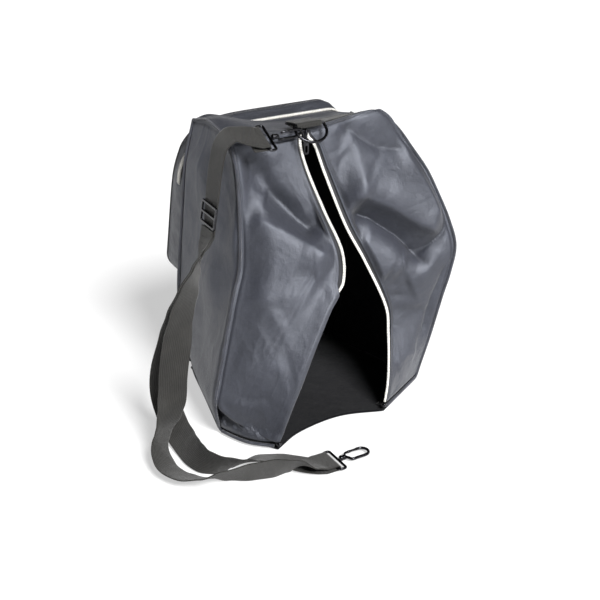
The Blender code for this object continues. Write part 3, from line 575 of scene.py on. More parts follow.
def coated_nylon(name, colour, rough=(0.44, 0.56), crinkle=0.0007, gloss=0.85):
    """Satin weave with a coating: soft gloss, small crinkles and slight scuffs."""
    recipe = Recipe(name)
    broad = recipe.noise(9.0, 3.0)
    fine = recipe.noise(230.0, 4.0, 0.7)
    mixed = recipe.math("ADD", recipe.math("MULTIPLY", broad, 0.45), recipe.math("MULTIPLY", fine, 0.55))
    # painted shade in the fold hollows and a painted highlight on the fold crests, from the crest heights stored
    # on each panel
    crest = recipe.add("ShaderNodeAttribute", attribute_name="crest").outputs["Fac"]
    mixed = recipe.math("ADD", mixed, recipe.math("MULTIPLY", crest, 0.16))
    recipe.colour(mixed, (0.28, shade(colour, 0.55)), (0.50, colour), (0.72, shade(colour, 1.5)))
    recipe.roughness(recipe.noise(38.0, 4.0), *rough)
    weave = recipe.math("MULTIPLY", recipe.bands("X", 0.0009), recipe.bands("Y", 0.0009))
    recipe.bump(
        (recipe.noise(55.0, 3.0, 0.5, distortion=0.6), crinkle),
        (recipe.noise(170.0, 3.0, 0.6), crinkle * 0.36),
        (recipe.noise(520.0, 2.0, 0.6), 0.00022),
        (weave, 0.00012),
    )
    recipe.set(Sheen_Weight=0.12, Sheen_Roughness=0.4, Specular_IOR_Level=gloss)
    recipe.set(Specular_Tint=(0.86, 0.90, 1.0, 1.0))
    return recipe.material


def woven_webbing(name, colour):
    """Heavy ribbed webbing: lengthwise ribs, crossing picks and fuzz along the weave."""
    recipe = Recipe(name)
    ribs, picks = recipe.bands("X", 0.0024), recipe.bands("Y", 0.0013)
    weave = recipe.math("MULTIPLY", ribs, recipe.math("ADD", recipe.math("MULTIPLY", picks, 0.5), 0.5))
    lit, faded = recipe.math("MULTIPLY", weave, 0.45), recipe.math("MULTIPLY", recipe.noise(60.0), 0.55)
    worn = recipe.math("ADD", lit, faded)
    recipe.colour(worn, (0.20, shade(colour, 0.50)), (0.50, colour), (0.85, shade(colour, 1.6)))
    recipe.roughness(recipe.noise(90.0), 0.62, 0.85)
    recipe.bump((recipe.noise(140.0, 3.0), 0.0003), (weave, 0.00045))
    recipe.set(Sheen_Weight=0.14, Sheen_Roughness=0.5, Specular_IOR_Level=0.35)
    return recipe.material


def fine_tape(name, colour, period=0.0008, rough=(0.65, 0.85)):
    """Narrow woven tape: binding, zip tape and piping cover."""
    recipe = Recipe(name)
    twill = recipe.noise(700.0, 2.0)
    ribs = recipe.bands("Y", period)
    recipe.colour(recipe.noise(60.0, 5.0), (0.30, shade(colour, 0.6)), (0.70, shade(colour, 1.5)))
    recipe.roughness(recipe.noise(120.0), *rough)
    recipe.bump((recipe.noise(260.0, 3.0), 0.0003), (recipe.math("ADD", ribs, twill), 0.00012))
    recipe.set(Sheen_Weight=0.2, Sheen_Roughness=0.5, Specular_IOR_Level=0.4)
    return recipe.material


def moulded_coil(name, colour):
    """Smooth moulded plastic of the zips' coils, a little soiled."""
    recipe = Recipe(name)
    recipe.colour(recipe.noise(150.0, 5.0), (0.30, shade(colour, 0.80)), (0.65, colour))
    recipe.roughness(recipe.noise(300.0), 0.28, 0.42)
    recipe.bump((recipe.noise(900.0), 0.00005),)
    recipe.set(Specular_IOR_Level=0.5)
    return recipe.material


def plated_metal(name, colour):
    """Dark polished plating with brighter worn patches and fine handling marks."""
    recipe = Recipe(name)
    patches, marks = recipe.noise(45.0, 5.0), recipe.noise(600.0)
    worn = recipe.math("ADD", recipe.math("MULTIPLY", patches, 0.7), recipe.math("MULTIPLY", marks, 0.3))
    recipe.colour(worn, (0.30, shade(colour, 0.65)), (0.55, colour), (0.72, shade(colour, 2.2)))
    recipe.roughness(recipe.noise(220.0, 5.0), 0.16, 0.36)
    recipe.bump((recipe.noise(800.0, 4.0), 0.00003),)
    recipe.set(Metallic=1.0)
    return recipe.material


def thread(name, colour):
    """Twisted sewing thread."""
    recipe = Recipe(name)
    recipe.colour(recipe.noise(900.0), (0.3, shade(colour, 0.7)), (0.7, shade(colour, 1.4)))
    recipe.roughness(recipe.noise(500.0), 0.5, 0.7)
    recipe.bump((recipe.noise(1800.0), 0.0001),)
    return recipe.material


def floor_paint(name):
    recipe = Recipe(name)
    recipe.colour(recipe.noise(2.0), (0.0, (0.37, 0.37, 0.37)), (1.0, (0.39, 0.39, 0.39)))
    recipe.set(Roughness=0.9, Specular_IOR_Level=0.1)
    recipe.set(Emission_Color=(1.0, 1.0, 1.0, 1.0), Emission_Strength=0.55)
    return recipe.material


NYLON = (0.0180, 0.0193, 0.0262)  # navy black
MATERIALS = {
    "nylon": coated_nylon("coated_nylon", NYLON),
    # a darker copy of the nylon as painted shade, for the recessed foot of the left panel and the pocket's gusset
    "nylon_painted_shade": coated_nylon("coated_nylon_shaded", shade(NYLON, 0.62)),
    "lining": coated_nylon("lining_cloth", (0.0045, 0.0045, 0.0052), (0.80, 0.95), 0.0005, 0.10),
    "binding": fine_tape("binding_tape", (0.016, 0.016, 0.019)),
    "cord": fine_tape("piping_cover", (0.019, 0.021, 0.030), 0.0016, (0.50, 0.65)),
    "tape": fine_tape("zip_tape", (0.013, 0.013, 0.016), 0.0011),
    "webbing": woven_webbing("shoulder_webbing", (0.0135, 0.0128, 0.0112)),
    "coil": moulded_coil("zip_coil", (0.80, 0.785, 0.74)),
    "thread": thread("sewing_thread", (0.030, 0.031, 0.036)),
    "gunmetal": plated_metal("gunmetal_plating", (0.040, 0.040, 0.044)),
    "floor": floor_paint("pale_floor"),
}

# ---------------------------------------------------------------- shell lines
def settled(line, *shifts):
    """A seam with some of its points moved: the shell sags and swells away from its cut shape in use."""
    points = [np.array(point, float) for point in line]
    for index, shift in shifts:
        points[index] = points[index] + np.array(shift)
    return points


LEFT_BACK_WORN = settled(
    LEFT_BACK, (0, (-0.0020, 0.0030, 0.0075)), (1, (-0.0070, 0.0020, 0.0)), (2, (-0.0020, 0.0, 0.0))
)
LEFT_BACK_WORN.insert(1, (LEFT_BACK_WORN[0] + LEFT_BACK_WORN[1]) / 2 + np.array((-0.0035, 0.0, 0.003)))
RIGHT_BACK_WORN = settled(RIGHT_BACK, (0, (0.0060, 0.0, -0.0115)))
RIGHT_SEAM_WORN = settled(RIGHT_SEAM, (0, (-0.0030, 0.0, 0.0075)))
RIGHT_SEAM_WORN.insert(1, RIGHT_SEAM_WORN[0] + np.array((0.0075, -0.0010, -0.0040)))
TOP_FRONT_WORN = settled(TOP_FRONT, (-1, (-0.0030, 0.0, 0.0075)))
EDGES = {
    "top_front": smooth_line(TOP_FRONT_WORN, 120),
    "left_seam": smooth_line(LEFT_SEAM, 160),
    "right_seam": smooth_line(RIGHT_SEAM_WORN, 160),
    "left_back": smooth_line(LEFT_BACK_WORN, 120),
    "right_back": smooth_line(RIGHT_BACK_WORN, 120),
    "left_zip": smooth_line([(-0.0135, -0.0545, 0.3985), *LEFT_ZIP_EDGE], 240),
    "right_zip": smooth_line([(-0.0065, -0.0545, 0.3985), *RIGHT_ZIP_EDGE], 240),
}
EAR = EDGES["right_seam"][0].copy()  # the corner that stands up at the right of the top, rounded off here
for name in ("top_front", "right_seam"):
    near = np.exp(-(np.linalg.norm(EDGES[name] - EAR, axis=1) / 0.015) ** 2)
    EDGES[name] = EDGES[name] + near[:, None] * np.array((-0.0050, 0.0010, -0.0042))
TOP_BACK = smooth_line(
    [
        LEFT_BACK_WORN[0], (-0.100, 0.053, 0.4060), (-0.077, 0.052, 0.4010), (-0.046, 0.051, 0.3915),
        (-0.014, 0.051, 0.3850), (0.046, 0.051, 0.3838), (0.090, 0.051, 0.3835), RIGHT_BACK_WORN[0],
    ],
    80,
)
EDGES["left_top"] = smooth_line(
    [LEFT_SEAM[0], (-0.1165, -0.020, 0.4055), (-0.1160, 0.020, 0.4085), LEFT_BACK_WORN[0]], 40
)
EDGES["right_top"] = smooth_line(
    [EDGES["right_seam"][0], (0.120, -0.028, 0.3960), (0.126, 0.016, 0.3800), RIGHT_BACK_WORN[0]], 40
)


def flap_surface(side):
    seam, zip_edge = EDGES[side + "_seam"], EDGES[side + "_zip"]
    middle = 0.5 + ZIP_TOP_X / (2 * TOP_HALF_WIDTH)
    top_edge = resample(EDGES["top_front"], 40, 0.0 if side == "left" else 1.0, middle)
    top_edge = top_edge + (zip_edge[0] - top_edge[-1]) * np.linspace(0.0, 1.0, 40)[:, None] ** 3
    return coons(top_edge, [seam[-1], zip_edge[-1]], seam, zip_edge)


def side_surface(side):
    seam, back = EDGES[side + "_seam"], EDGES[side + "_back"]
    return coons(EDGES[side + "_top"], [seam[-1], back[-1]], seam, back)


def top_surface():
    return coons(EDGES["top_front"], TOP_BACK, EDGES["left_top"], EDGES["right_top"])


def back_surface():
    bottom = [EDGES["left_back"][-1], EDGES["right_back"][-1]]
    return coons(TOP_BACK, bottom, EDGES["left_back"], EDGES["right_back"])


# ---------------------------------------------------------------- panels
TURNED_HEM = (0.470, 0.520)  # over this share of the left zip edge its teeth turn in behind the cloth
FLAP_FOLDS = {  # each fold: route of (s, t), height, slope widths on its left and right, sharpness
    "left": [
        (
            [(0.03, 0.245), (0.22, 0.268), (0.43, 0.300), (0.64, 0.345), (0.83, 0.392), (0.94, 0.412)],
            0.0100, 0.018, 0.085, 0.15,
        ),
        ([(0.257, 0.033), (0.187, 0.100), (0.12, 0.177), (0.05, 0.278)], -0.0074, 0.012, 0.016, 0.30),
        ([(0.08, 0.160), (0.25, 0.182), (0.39, 0.198)], 0.0016, 0.008, 0.010, 0.25),
        (
            [(0.42, 0.030), (0.477, 0.062), (0.56, 0.145), (0.757, 0.210), (0.833, 0.292)],
            0.0034, 0.012, 0.018, 0.35,
        ),
        ([(0.36, 0.060), (0.45, 0.170), (0.66, 0.262), (0.84, 0.340)], -0.0064, 0.013, 0.018, 0.35),
        ([(0.50, 0.440), (0.64, 0.452), (0.76, 0.448)], -0.0011, 0.014, 0.018, 0.50),
        ([(0.06, 0.330), (0.18, 0.430), (0.28, 0.560)], 0.0030, 0.020, 0.028, 0.50),
        ([(0.93, 0.500), (0.70, 0.560), (0.50, 0.600)], -0.0016, 0.020, 0.026, 0.50),
        ([(0.10, 0.720), (0.42, 0.765), (0.80, 0.740)], 0.0018, 0.014, 0.020, 0.40),
        ([(0.24, 0.850), (0.44, 0.862), (0.70, 0.845)], -0.0008, 0.008, 0.009, 0.35),
        ([(0.28, 0.874), (0.50, 0.884), (0.74, 0.868)], 0.0006, 0.007, 0.008, 0.35),
    ],
    "right": [
        (
            [(0.60, 0.010), (0.523, 0.055), (0.41, 0.115), (0.327, 0.140), (0.167, 0.165), (0.03, 0.170)],
            -0.0058, 0.018, 0.012, 0.20,
        ),
        ([(0.71, 0.098), (0.623, 0.158), (0.54, 0.215)], -0.0014, 0.020, 0.020, 0.50),
        (
            [(0.95, 0.250), (0.74, 0.268), (0.547, 0.330), (0.337, 0.418), (0.09, 0.480)],
            0.0140, 0.060, 0.012, 0.15,
        ),
        (
            [(0.93, 0.292), (0.72, 0.350), (0.55, 0.440), (0.42, 0.535), (0.30, 0.570)],
            -0.0150, 0.026, 0.012, 0.15,
        ),
        ([(0.95, 0.400), (0.78, 0.470), (0.60, 0.545)], 0.0036, 0.030, 0.030, 0.50),
        ([(0.92, 0.550), (0.733, 0.615), (0.553, 0.600)], -0.0032, 0.016, 0.018, 0.40),
        ([(0.733, 0.615), (0.84, 0.690), (0.90, 0.760)], -0.0022, 0.014, 0.016, 0.40),
        ([(0.44, 0.500), (0.42, 0.600), (0.50, 0.720)], 0.0026, 0.022, 0.026, 0.50),
        ([(0.08, 0.562), (0.187, 0.693), (0.183, 0.845)], -0.0034, 0.008, 0.006, 0.25),
        ([(0.30, 0.880), (0.55, 0.860), (0.80, 0.885)], 0.0020, 0.010, 0.012, 0.30),
    ],
}


SEAM_GROOVE = 0.0016  # how far the cloth dips where it is stitched down beside the piping


def seam_groove(cloth, left=False, right=False, top=False):
    """Depth of the stitched-down strip along the chosen edges of a panel."""
    near = [
        gap for gap, wanted in (
            (cloth.u - cloth.u[:, :1], left), (cloth.u[:, -1:] - cloth.u, right), (cloth.v - cloth.v[:1], top)
        ) if wanted
    ]
    gap = np.min(near, axis=0)
    return SEAM_GROOVE * np.exp(-((gap - 0.0036) / 0.0024) ** 2)


FLAP_HOLLOWS = {  # each swelling or hollow: centre (s, t), half sizes in metres, height, direction in degrees
    "left": [
        ((0.56, 0.215), (0.080, 0.030), -0.0150, 45),
        ((0.20, 0.140), (0.030, 0.040), 0.0050, 70),
        ((0.45, 0.560), (0.060, 0.080), 0.0050, 20),
    ],
    "right": [
        ((0.42, 0.290), (0.085, 0.032), 0.0080, -40),
        ((0.66, 0.530), (0.050, 0.034), 0.0060, -35),
        ((0.60, 0.720), (0.050, 0.050), -0.0050, 0),
    ],
}
PRESS = 1.7  # how strongly the handling has set the folds


def press_folds(cloth, folds, hollows=(), press=1.0):
    """Sets folds, swellings and hollows into the cloth, the folds press times as strongly as listed."""
    for route, height, left, right, sharp in folds:
        cloth.fold(route, height * press, left, right, sharp)
    for centre, size, height, angle in hollows:
        cloth.dome(centre, size, height, angle)


FLAP_END = 0.052  # a flap's cloth stops this far short of the teeth, as a share of its width
HEM_OVERLAP = 0.058  # and reaches this much further where its hem turns in over them


def flap_reach(side):
    """How far along s each flap's cloth reaches: short of the teeth, or past them where its hem turns in."""
    if side == "right":
        return lambda t: 1 - FLAP_END * np.ones_like(t)
    return lambda t: 1 - FLAP_END + HEM_OVERLAP * ramp(t, *TURNED_HEM)


def curtain_hem(share):
    """How far down each part of the left panel's cloth reaches before its hem, from the seam to the zip."""
    reach = (0.885, 0.903, 0.943, 0.977, 0.990, 0.990)
    return np.interp(share, (0.0, 0.08, 0.28, 0.60, 0.86, 1.0), reach)


LAPEL_HINGE = {
    side: (np.array(edge[0], float), np.array(edge[-1], float))
    for side, edge in (("left", LEFT_ZIP_EDGE), ("right", RIGHT_ZIP_EDGE))
}
LAPEL_BEND = (0.004, 0.028)  # how far in from the lapel's fold line the points start and end lie


def store_fold_shade(thing, points, normals, reach=4, scale=0.0022):
    """Keeps how far each vertex stands out from the cloth round it, for painted shade in the hollows and a painted
    highlight on the crests.
    """
    padded = np.pad(points, ((reach, reach), (reach, reach), (0, 0)), mode="edge")
    rows, columns = points.shape[:2]
    around = [
        padded[reach + a:reach + a + rows, reach + b:reach + b + columns]
        for a, b in ((-reach, 0), (reach, 0), (0, -reach), (0, reach))
    ]
    stand = ((points - sum(around) / 4) * normals).sum(axis=2)
    inner = np.zeros(stand.shape)
    inner[reach:-reach, reach:-reach] = stand[reach:-reach, reach:-reach]
    layer = thing.data.attributes.new("crest", "FLOAT", "POINT")
    layer.data.foreach_set("value", np.clip(inner / scale, -1.0, 1.0).astype(np.float32).ravel())


def panel(name, points, normals, u, v, replaces=(), materials=("nylon", "lining"), body="bag", closed=False):
    """A panel of coated nylon that knows where its folds stand out, for painted shade in its hollows and a painted
    highlight on its crests.
    """
    thing = sheet_object(
        name, points, normals, materials, uv=np.stack([u, v], axis=-1), closed=closed, body=body, slot="nylon",
        replaces=replaces,
    )
    store_fold_shade(thing, points, normals)
    return thing


def build_flap(side):
    """A front half panel of loose cloth, folded and creased, with two rows of stitches along its zip edge."""
    surface = flap_surface(side)
    hem = curtain_hem if side == "left" else 0.990
    cloth = Cloth(surface, (0.006, flap_reach(side)), (0.004, hem), (120, 190), (0, -1, 0))
    press_folds(cloth, FLAP_FOLDS[side], FLAP_HOLLOWS[side], PRESS)
    seed, angle = (7, 58) if side == "left" else (27, -35)
    ease = 1.0 if side == "left" else 0.45 + 0.55 * ramp(cloth.t, 0.25, 0.60)
    cloth.swell(0.0013, 0.060, seed + 3, ease)
    cloth.wrinkle(0.0007, 0.040, seed, 2.6, angle, ease)
    cloth.wrinkle(0.0005, 0.016, seed + 70, 2.0, angle + 40)
    seam_ease = 0.044 if side == "left" else 0.016
    points = cloth.result(cloth.fade(left=seam_ease, right=0.008, top=0.012, bottom=0.006))
    points -= cloth.normals * seam_groove(cloth, left=True, top=True)[..., None]
    s, t = cloth.s, cloth.t
    if side == "left":
        roll = np.exp(-(((curtain_hem(s) - t) * 0.40) / 0.007) ** 2) * ramp(s, 0.02, 0.12)
        points += cloth.normals * (0.0032 * roll)[..., None]
        turned = ramp(s, 0.955, 1.006) * ramp(t, *TURNED_HEM)
        points -= cloth.normals * (0.0030 * turned**2)[..., None]
    else:
        ear = ramp(0.62 - s, 0.0, 0.40) * np.exp(-((t - 0.02) / 0.085) ** 2)
        points[..., 2] += 0.0030 * ear
        points[..., 1] -= 0.0030 * ear
    stands_for = [side + "_flap", side + "_lapel"]
    flap = panel(side + "_front_flap", points, cloth.normals, cloth.u, cloth.v, stands_for, body=None)

    hinge_top, hinge_foot = LAPEL_HINGE[side]
    chord = unit(hinge_foot - hinge_top)
    middle = (hinge_top + hinge_foot) / 2
    inward = surface(0.5, 0.5) - middle
    inward = unit(inward - chord * (inward @ chord))
    start, end = (tuple(middle - inward * distance) for distance in LAPEL_BEND)
    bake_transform(flap)
    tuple(start)
    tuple(end)

    shares = np.linspace(0.012, 0.985, 150)
    spot = (shares - 0.004) / 0.986 * (points.shape[0] - 1)
    low = np.clip(spot.astype(int), 0, points.shape[0] - 2)
    for name, column in (("edge", -4), ("inner", -7)):
        stitches(
            f"{side}_zip_stitch_{name}", points[low, column], cloth.normals[low, column], side + "_lapel", "nylon",
            lift=FABRIC / 2 + 0.0001,
        )


FOOT_SPILL = (-0.0040, -0.0110, 0.0)  # the foot of the left front panel spills out over the floor by this much


def build_left_foot():
    """The crumpled foot of the left front panel, tucked back under the curtain hem that sags over it."""
    surface = flap_surface("left")
    rows, columns = 26, 70
    shares, spread = np.linspace(0.0, 1.0, rows)[:, None], np.linspace(0.004, 0.90, columns)[None, :]
    s = np.broadcast_to(spread, (rows, columns))
    t = 0.868 + 0.127 * np.broadcast_to(shares, (rows, columns))
    points = surface(s, t)
    inward = np.array((0.35, 0.94, 0.0))
    tuck = 0.0150 * (1 - ramp(shares, 0.30, 0.92)) + 0.0020
    points = points + inward * tuck[..., None]
    spill = ramp(shares, 0.35, 1.0) * np.sin(np.pi * np.clip(spread / 0.90, 0, 1)) ** 0.8
    points = points + np.array(FOOT_SPILL) * spill[..., None]
    u, v = distances(points)
    crumple = 0.0062 * (creases(u, v, 0.020, 210, 1.6, 25) - CREASE_MEAN)
    crumple += 0.0034 * (creases(u, v, 0.010, 214, 1.4, -35) - CREASE_MEAN)
    ease = np.sin(np.pi * np.clip(shares * 0.94 + 0.03, 0, 1)) * ramp(s, 0.0, 0.08) * ramp(0.90 - s, 0.0, 0.08)
    normals = normals_of(points, (0, -1, 0))
    points = points + normals * (crumple * ease)[..., None]
    # the foot is cut from the darker copy of the nylon, painted shade under the sagging hem
    panel("left_foot", points, normals, u, v, materials=("nylon_painted_shade", "lining"))


def zip_frames(side):
    """Points along a front zip edge with the axes along it, across it and out of the cloth."""
    surface, line = flap_surface(side), EDGES[side + "_zip"]
    shares = np.linspace(0.0, 1.0, len(line))
    inner = surface(0.94, shares)
    along = unit(np.gradient(line, axis=0))
    across = unit(inner - line)
    out = unit(np.cross(along, across))
    if (out @ np.array((0.0, -1.0, 0.0))).mean() < 0:
        out = -out
    across = unit(across - along * (across * along).sum(axis=1, keepdims=True))
    out = unit(out - along * (out * along).sum(axis=1, keepdims=True))
    return line, along, across, out


ZIP_PITCH = 0.0021  # of the front zip's teeth
ZIP_TAPE = 0.0009  # thickness of the zips' woven tape


def build_zip(side):
    """One side of the open front zip: its tape behind the cloth's edge, its coil of teeth and its stop."""
    body = side + "_lapel"
    line, along, across, out = zip_frames(side)
    count = int(length_of(line) * 0.98 / ZIP_PITCH)
    template, faces = bead(0.00078, 0.0019, 0.0013, 0.30)
    places = []
    for k in range(count):
        share = 0.004 + 0.981 * (k + 0.5) / count
        spot = share * (len(line) - 1)
        low = int(spot)
        centre = line[low] + (line[low + 1] - line[low]) * (spot - low) + across[low] * 0.0002
        if side == "left":
            turned = float(ramp(share, *TURNED_HEM))
            centre = centre + (across[low] * 0.0045 - out[low] * 0.0040) * turned
        places.append((centre, np.array([along[low], across[low], out[low]])))
    scatter(
        side + "_zip_teeth", template, faces, places, "coil", body=body, slot="zip", replaces=[side + "_zip_half"]
    )

    tape = Cloth(flap_surface(side), (0.905, 0.992), (0.004, 0.985), (9, 170), (0, -1, 0))
    shift = -0.0016
    if side == "left":
        shift = -0.0016 - 0.0026 * ramp(tape.t, *TURNED_HEM)
    tape.rise += shift
    sheet_object(side + "_zip_tape", tape.result(), tape.normals, ("tape",), ZIP_TAPE, body=body, slot="binding")

    stop_at, axes = line[-2], np.array([along[-2], across[-2], out[-2]])
    template, faces = bead(0.0026, 0.0032, 0.0024, 0.35)
    scatter(side + "_zip_end", template, faces, [(stop_at, axes)], "gunmetal", body=body, slot="gunmetal",
            replaces=[side + "_zip_stop"])


FLANK_FOLDS = {
    "left": [
        ([(0.12, 0.030), (0.20, 0.180), (0.24, 0.330)], -0.0026, 0.014, 0.016, 0.50),
        ([(0.85, 0.060), (0.60, 0.220), (0.42, 0.420), (0.30, 0.640)], 0.0060, 0.024, 0.030, 0.50),
        ([(0.30, 0.350), (0.22, 0.520), (0.20, 0.740)], -0.0026, 0.018, 0.022, 0.50),
        ([(0.60, 0.500), (0.52, 0.680), (0.50, 0.860)], -0.0030, 0.020, 0.020, 0.45),
        ([(0.10, 0.860), (0.40, 0.900), (0.80, 0.880)], 0.0024, 0.010, 0.014, 0.30),
    ],
    "right": [
        ([(0.15, 0.080), (0.40, 0.240), (0.62, 0.420)], -0.0050, 0.016, 0.020, 0.40),
        ([(0.10, 0.420), (0.35, 0.520), (0.60, 0.680)], 0.0060, 0.022, 0.030, 0.45),
        ([(0.20, 0.620), (0.40, 0.780), (0.44, 0.920)], -0.0040, 0.018, 0.020, 0.40),
    ],
}


def build_side(side):
    """A side panel, loose between its seams, with its foot tucked down inside the bottom binding."""
    outward = (-1, 0, 0) if side == "left" else (1, 0, 0)
    cloth = Cloth(side_surface(side), (0.006, 1.0), (0.002, 1.0), (100, 150), outward)
    seed = 40 if side == "left" else 60
    press_folds(cloth, FLANK_FOLDS[side])
    cloth.swell(0.0018, 0.075, seed)
    cloth.wrinkle(0.0012, 0.045, seed + 5, 2.6, 75)
    cloth.wrinkle(0.0005, 0.017, seed + 35, 2.0, 40)
    points = cloth.result(cloth.fade(0.012, 0.012, 0.012, 0.008))
    points -= cloth.normals * seam_groove(cloth, left=True, right=True, top=True)[..., None]
    low = ramp(cloth.t, 0.97, 1.0)
    points[..., 2] -= 0.0045 * low
    panel(side + "_flank", points, cloth.normals, cloth.u, cloth.v, [side + "_side_panel"])


def build_top():
    """The top panel, sagging a little, and the webbing band sewn down on it."""
    cloth = Cloth(top_surface(), (0.006, 0.994), (0.020, 0.985), (110, 52), (0, 0, 1))
    cloth.swell(0.0015, 0.060, 80)
    cloth.wrinkle(0.0008, 0.045, 84, 2.0, 10)
    cloth.rise -= 0.0020 * np.exp(-(((cloth.s - 0.45) / 0.34) ** 2 + ((cloth.t - 0.55) / 0.42) ** 2))
    points = cloth.result(cloth.fade(0.010, 0.010, 0.010, 0.010))
    panel("top_cloth", points, cloth.normals, cloth.u, cloth.v, ["top_panel"])
    band = Cloth(top_surface(), BAND_SPAN[0], BAND_SPAN[1], (46, 18), (0, 0, 1))
    lift = FABRIC / 2 + WEBBING / 2 + 0.0004
    band.rise += lift + 0.0003 * swell(band.u, band.v, 0.03, 90)
    sheet_object(
        "top_webbing", band.result(), band.normals, ("webbing",), WEBBING, uv=np.stack([band.v, band.u], axis=-1),
        body="bag", slot="webbing", replaces=["top_band"],
    )
    surface = band.result()
    for name, line, normal in (
        ("front", surface[1, 1:-1], band.normals[1, 1:-1]),
        ("rear", surface[-2, 1:-1], band.normals[-2, 1:-1]),
        ("end", surface[1:-1, -2], band.normals[1:-1, -2]),
        ("start", surface[1:-1, 1], band.normals[1:-1, 1]),
    ):
        stitches("top_webbing_stitch_" + name, line, normal, "bag", "webbing", lift=WEBBING_STITCH_LIFT)


def build_back():
    """The back panel behind the pocket."""
    cloth = Cloth(back_surface(), (0.0, 1.0), (0.004, 1.0), (90, 110), (0, 1, 0))
    cloth.swell(0.0012, 0.08, 100)
    cloth.wrinkle(0.0008, 0.05, 104, 2.4, 85)
    points = cloth.result(cloth.fade(0.012, 0.012, 0.012, 0.010))
    points[..., 2] -= 0.0035 * ramp(cloth.t, 0.97, 1.0)
    panel("back_cloth", points, cloth.normals, cloth.u, cloth.v, ["back_panel"])


def build_base():
    """The base board in its fabric, with the same outline as the seams that meet it."""
    mouth = [EDGES["left_zip"][-1], (-0.070, -0.152, 0.0), (0.0, -0.143, 0.0), EDGES["right_zip"][-1]]
    front = smooth_line(mouth, 40)
    left = resample([EDGES["left_back"][-1], EDGES["left_seam"][-1]], 30)
    right = resample([EDGES["right_back"][-1], EDGES["right_seam"][-1]], 30)
    front = np.vstack([EDGES["left_seam"][-1], front, EDGES["right_seam"][-1]])
    back = resample([EDGES["left_back"][-1], EDGES["right_back"][-1]], 40)
    cloth = Cloth(coons(back, front, left, right), (0.004, 0.996), (0.004, 0.996), (90, 70), (0, 0, 1))
    u, v = cloth.u, cloth.v
    points = cloth.points.copy()
    points[..., 2] = 0.0014 + 0.0003 * swell(u, v, 0.05, 120)
    sheet_object(
        "base_cloth", points, cloth.normals, ("lining",), 0.0018, uv=np.stack([u, v], axis=-1), body="bag",
        slot="nylon", replaces=["base_panel"],
    )


# ---------------------------------------------------------------- piping
CORD_RADIUS = PIPING_RADIUS * 1.15


def hem_route(side):
    """The foot of a front panel along the floor, from its seam to its zip."""
    foot, toe = EDGES[side + "_seam"][-1].copy(), EDGES[side + "_zip"][-1].copy()
    foot[2], toe[2] = 0.0070, 0.0054
    toe = foot + (toe - foot) * 0.93
    hem = [foot, foot + (toe - foot) * 0.12, foot + (toe - foot) * 0.5, toe]
    for point in hem[1:]:
        point[2] = 0.0054
    if side == "left":
        hem[1] = hem[1] + np.array(FOOT_SPILL) * 0.5
        hem[2] = hem[2] + np.array(FOOT_SPILL)
    return hem


def cord(name, route, replaces):
    """One length of covered piping cord."""
    wire_object(name, route, CORD_RADIUS, "cord", replaces=[replaces])


def build_piping():
    """The piping cord in every seam, round beads where cords meet, and the binding inside."""
    for side in ("left", "right"):
        route = smooth_line([*resample(EDGES[side + "_seam"], 12, 0.002, 0.955), *hem_route(side)], 200)
        cord(side + "_front_cord", route, side + "_front_piping")
        cord(side + "_top_cord", resample(EDGES[side + "_top"], 40, 0.0, 1.0), side + "_top_piping")
        cord(side + "_back_cord", resample(EDGES[side + "_back"], 80, 0.0, 0.970), side + "_back_piping")
    cord("top_front_cord", resample(EDGES["top_front"], 90, 0.0, 1.0), "top_front_piping")
    corners = [EDGES[name][-1].copy() for name in ("left_seam", "left_back", "right_back", "right_seam")]
    for corner in corners:
        corner[2] = 0.0050
    route = []
    for start, end in zip(corners, corners[1:]):
        route += [start + (end - start) * share for share in (0.04, 0.5, 0.96)]
    cord("base_cord", smooth_line(route, 160), "base_piping")
    size = CORD_RADIUS * 1.05
    template, faces = bead(size, size, size, 0.9)
    joints = [(EDGES[side + "_top"][end], np.eye(3)) for side in ("left", "right") for end in (0, -1)]
    scatter("piping_joints", template, faces, joints, "cord", body="bag", slot="binding")
    build_inside_binding()
    build_left_foot()


HEM_TAPE = {  # how far in each line of the turned-in hem lies, and its height
    "left": ((0.0045, 0.0170), (0.0042, 0.0100), (0.0055, 0.0050), (0.0100, 0.0034), (0.0260, 0.0034)),
    "right": ((0.0006, 0.0085), (0.0030, 0.0050), (0.0070, 0.0034), (0.0120, 0.0032), (0.0170, 0.0034)),
}


def build_inside_binding():
    """Dark tape that binds the raw seams inside the bag: round the base and up the rear corners."""
    names = ("left_seam", "left_back", "right_back", "right_seam")
    corners = np.array([EDGES[name][-1] for name in names])
    middle = corners.mean(axis=0)
    ring = resample(middle + (corners - middle) * (1 - 0.012), 160)
    heights = np.linspace(0.0008, 0.0150, 5)
    rows = np.array([np.column_stack([ring[:, 0], ring[:, 1], np.full(len(ring), height)]) for height in heights])
    inward = unit(middle - ring)
    inward[:, 2] = 0
    facing_in = np.tile(inward, (len(heights), 1, 1))
    sheet_object("base_seam_tape", rows, facing_in, ("lining",), 0.0010, body="bag", slot="binding")
    for side in ("left", "right"):
        line = smooth_line(hem_route(side), 60)
        inward = unit(np.cross(UP, unit(np.gradient(line, axis=0)))) * (1.0 if side == "left" else -1.0)
        inward[:, 2] = 0.0
        rows = np.array([line + inward * reach + UP * (height - line[:, 2:3]) for reach, height in HEM_TAPE[side]])
        facing_up = np.tile(UP, (len(rows), len(line), 1))
        sheet_object(side + "_hem_tape", rows, facing_up, ("lining",), 0.0008, body="bag", slot="binding")
    for side, sign in (("left", 1.0), ("right", -1.0)):
        line = resample(EDGES[side + "_back"], 80, 0.01, 1.0)
        line[-1, 2] = 0.001
        leg = np.array((sign * 0.010, -0.0022, 0.0))
        arm = np.array((sign * 0.0022, -0.010, 0.0))
        bends = [leg, leg * 0.5 + arm * 0.02, leg * 0.12 + arm * 0.12, arm * 0.5, arm]
        rows = np.array([line + bend for bend in bends])
        facing_in = np.tile(unit(np.array((sign, -1.0, 0.0))), (*rows.shape[:2], 1))
        sheet_object(side + "_rear_seam_tape", rows, facing_in, ("lining",), 0.0010, body="bag", slot="binding")


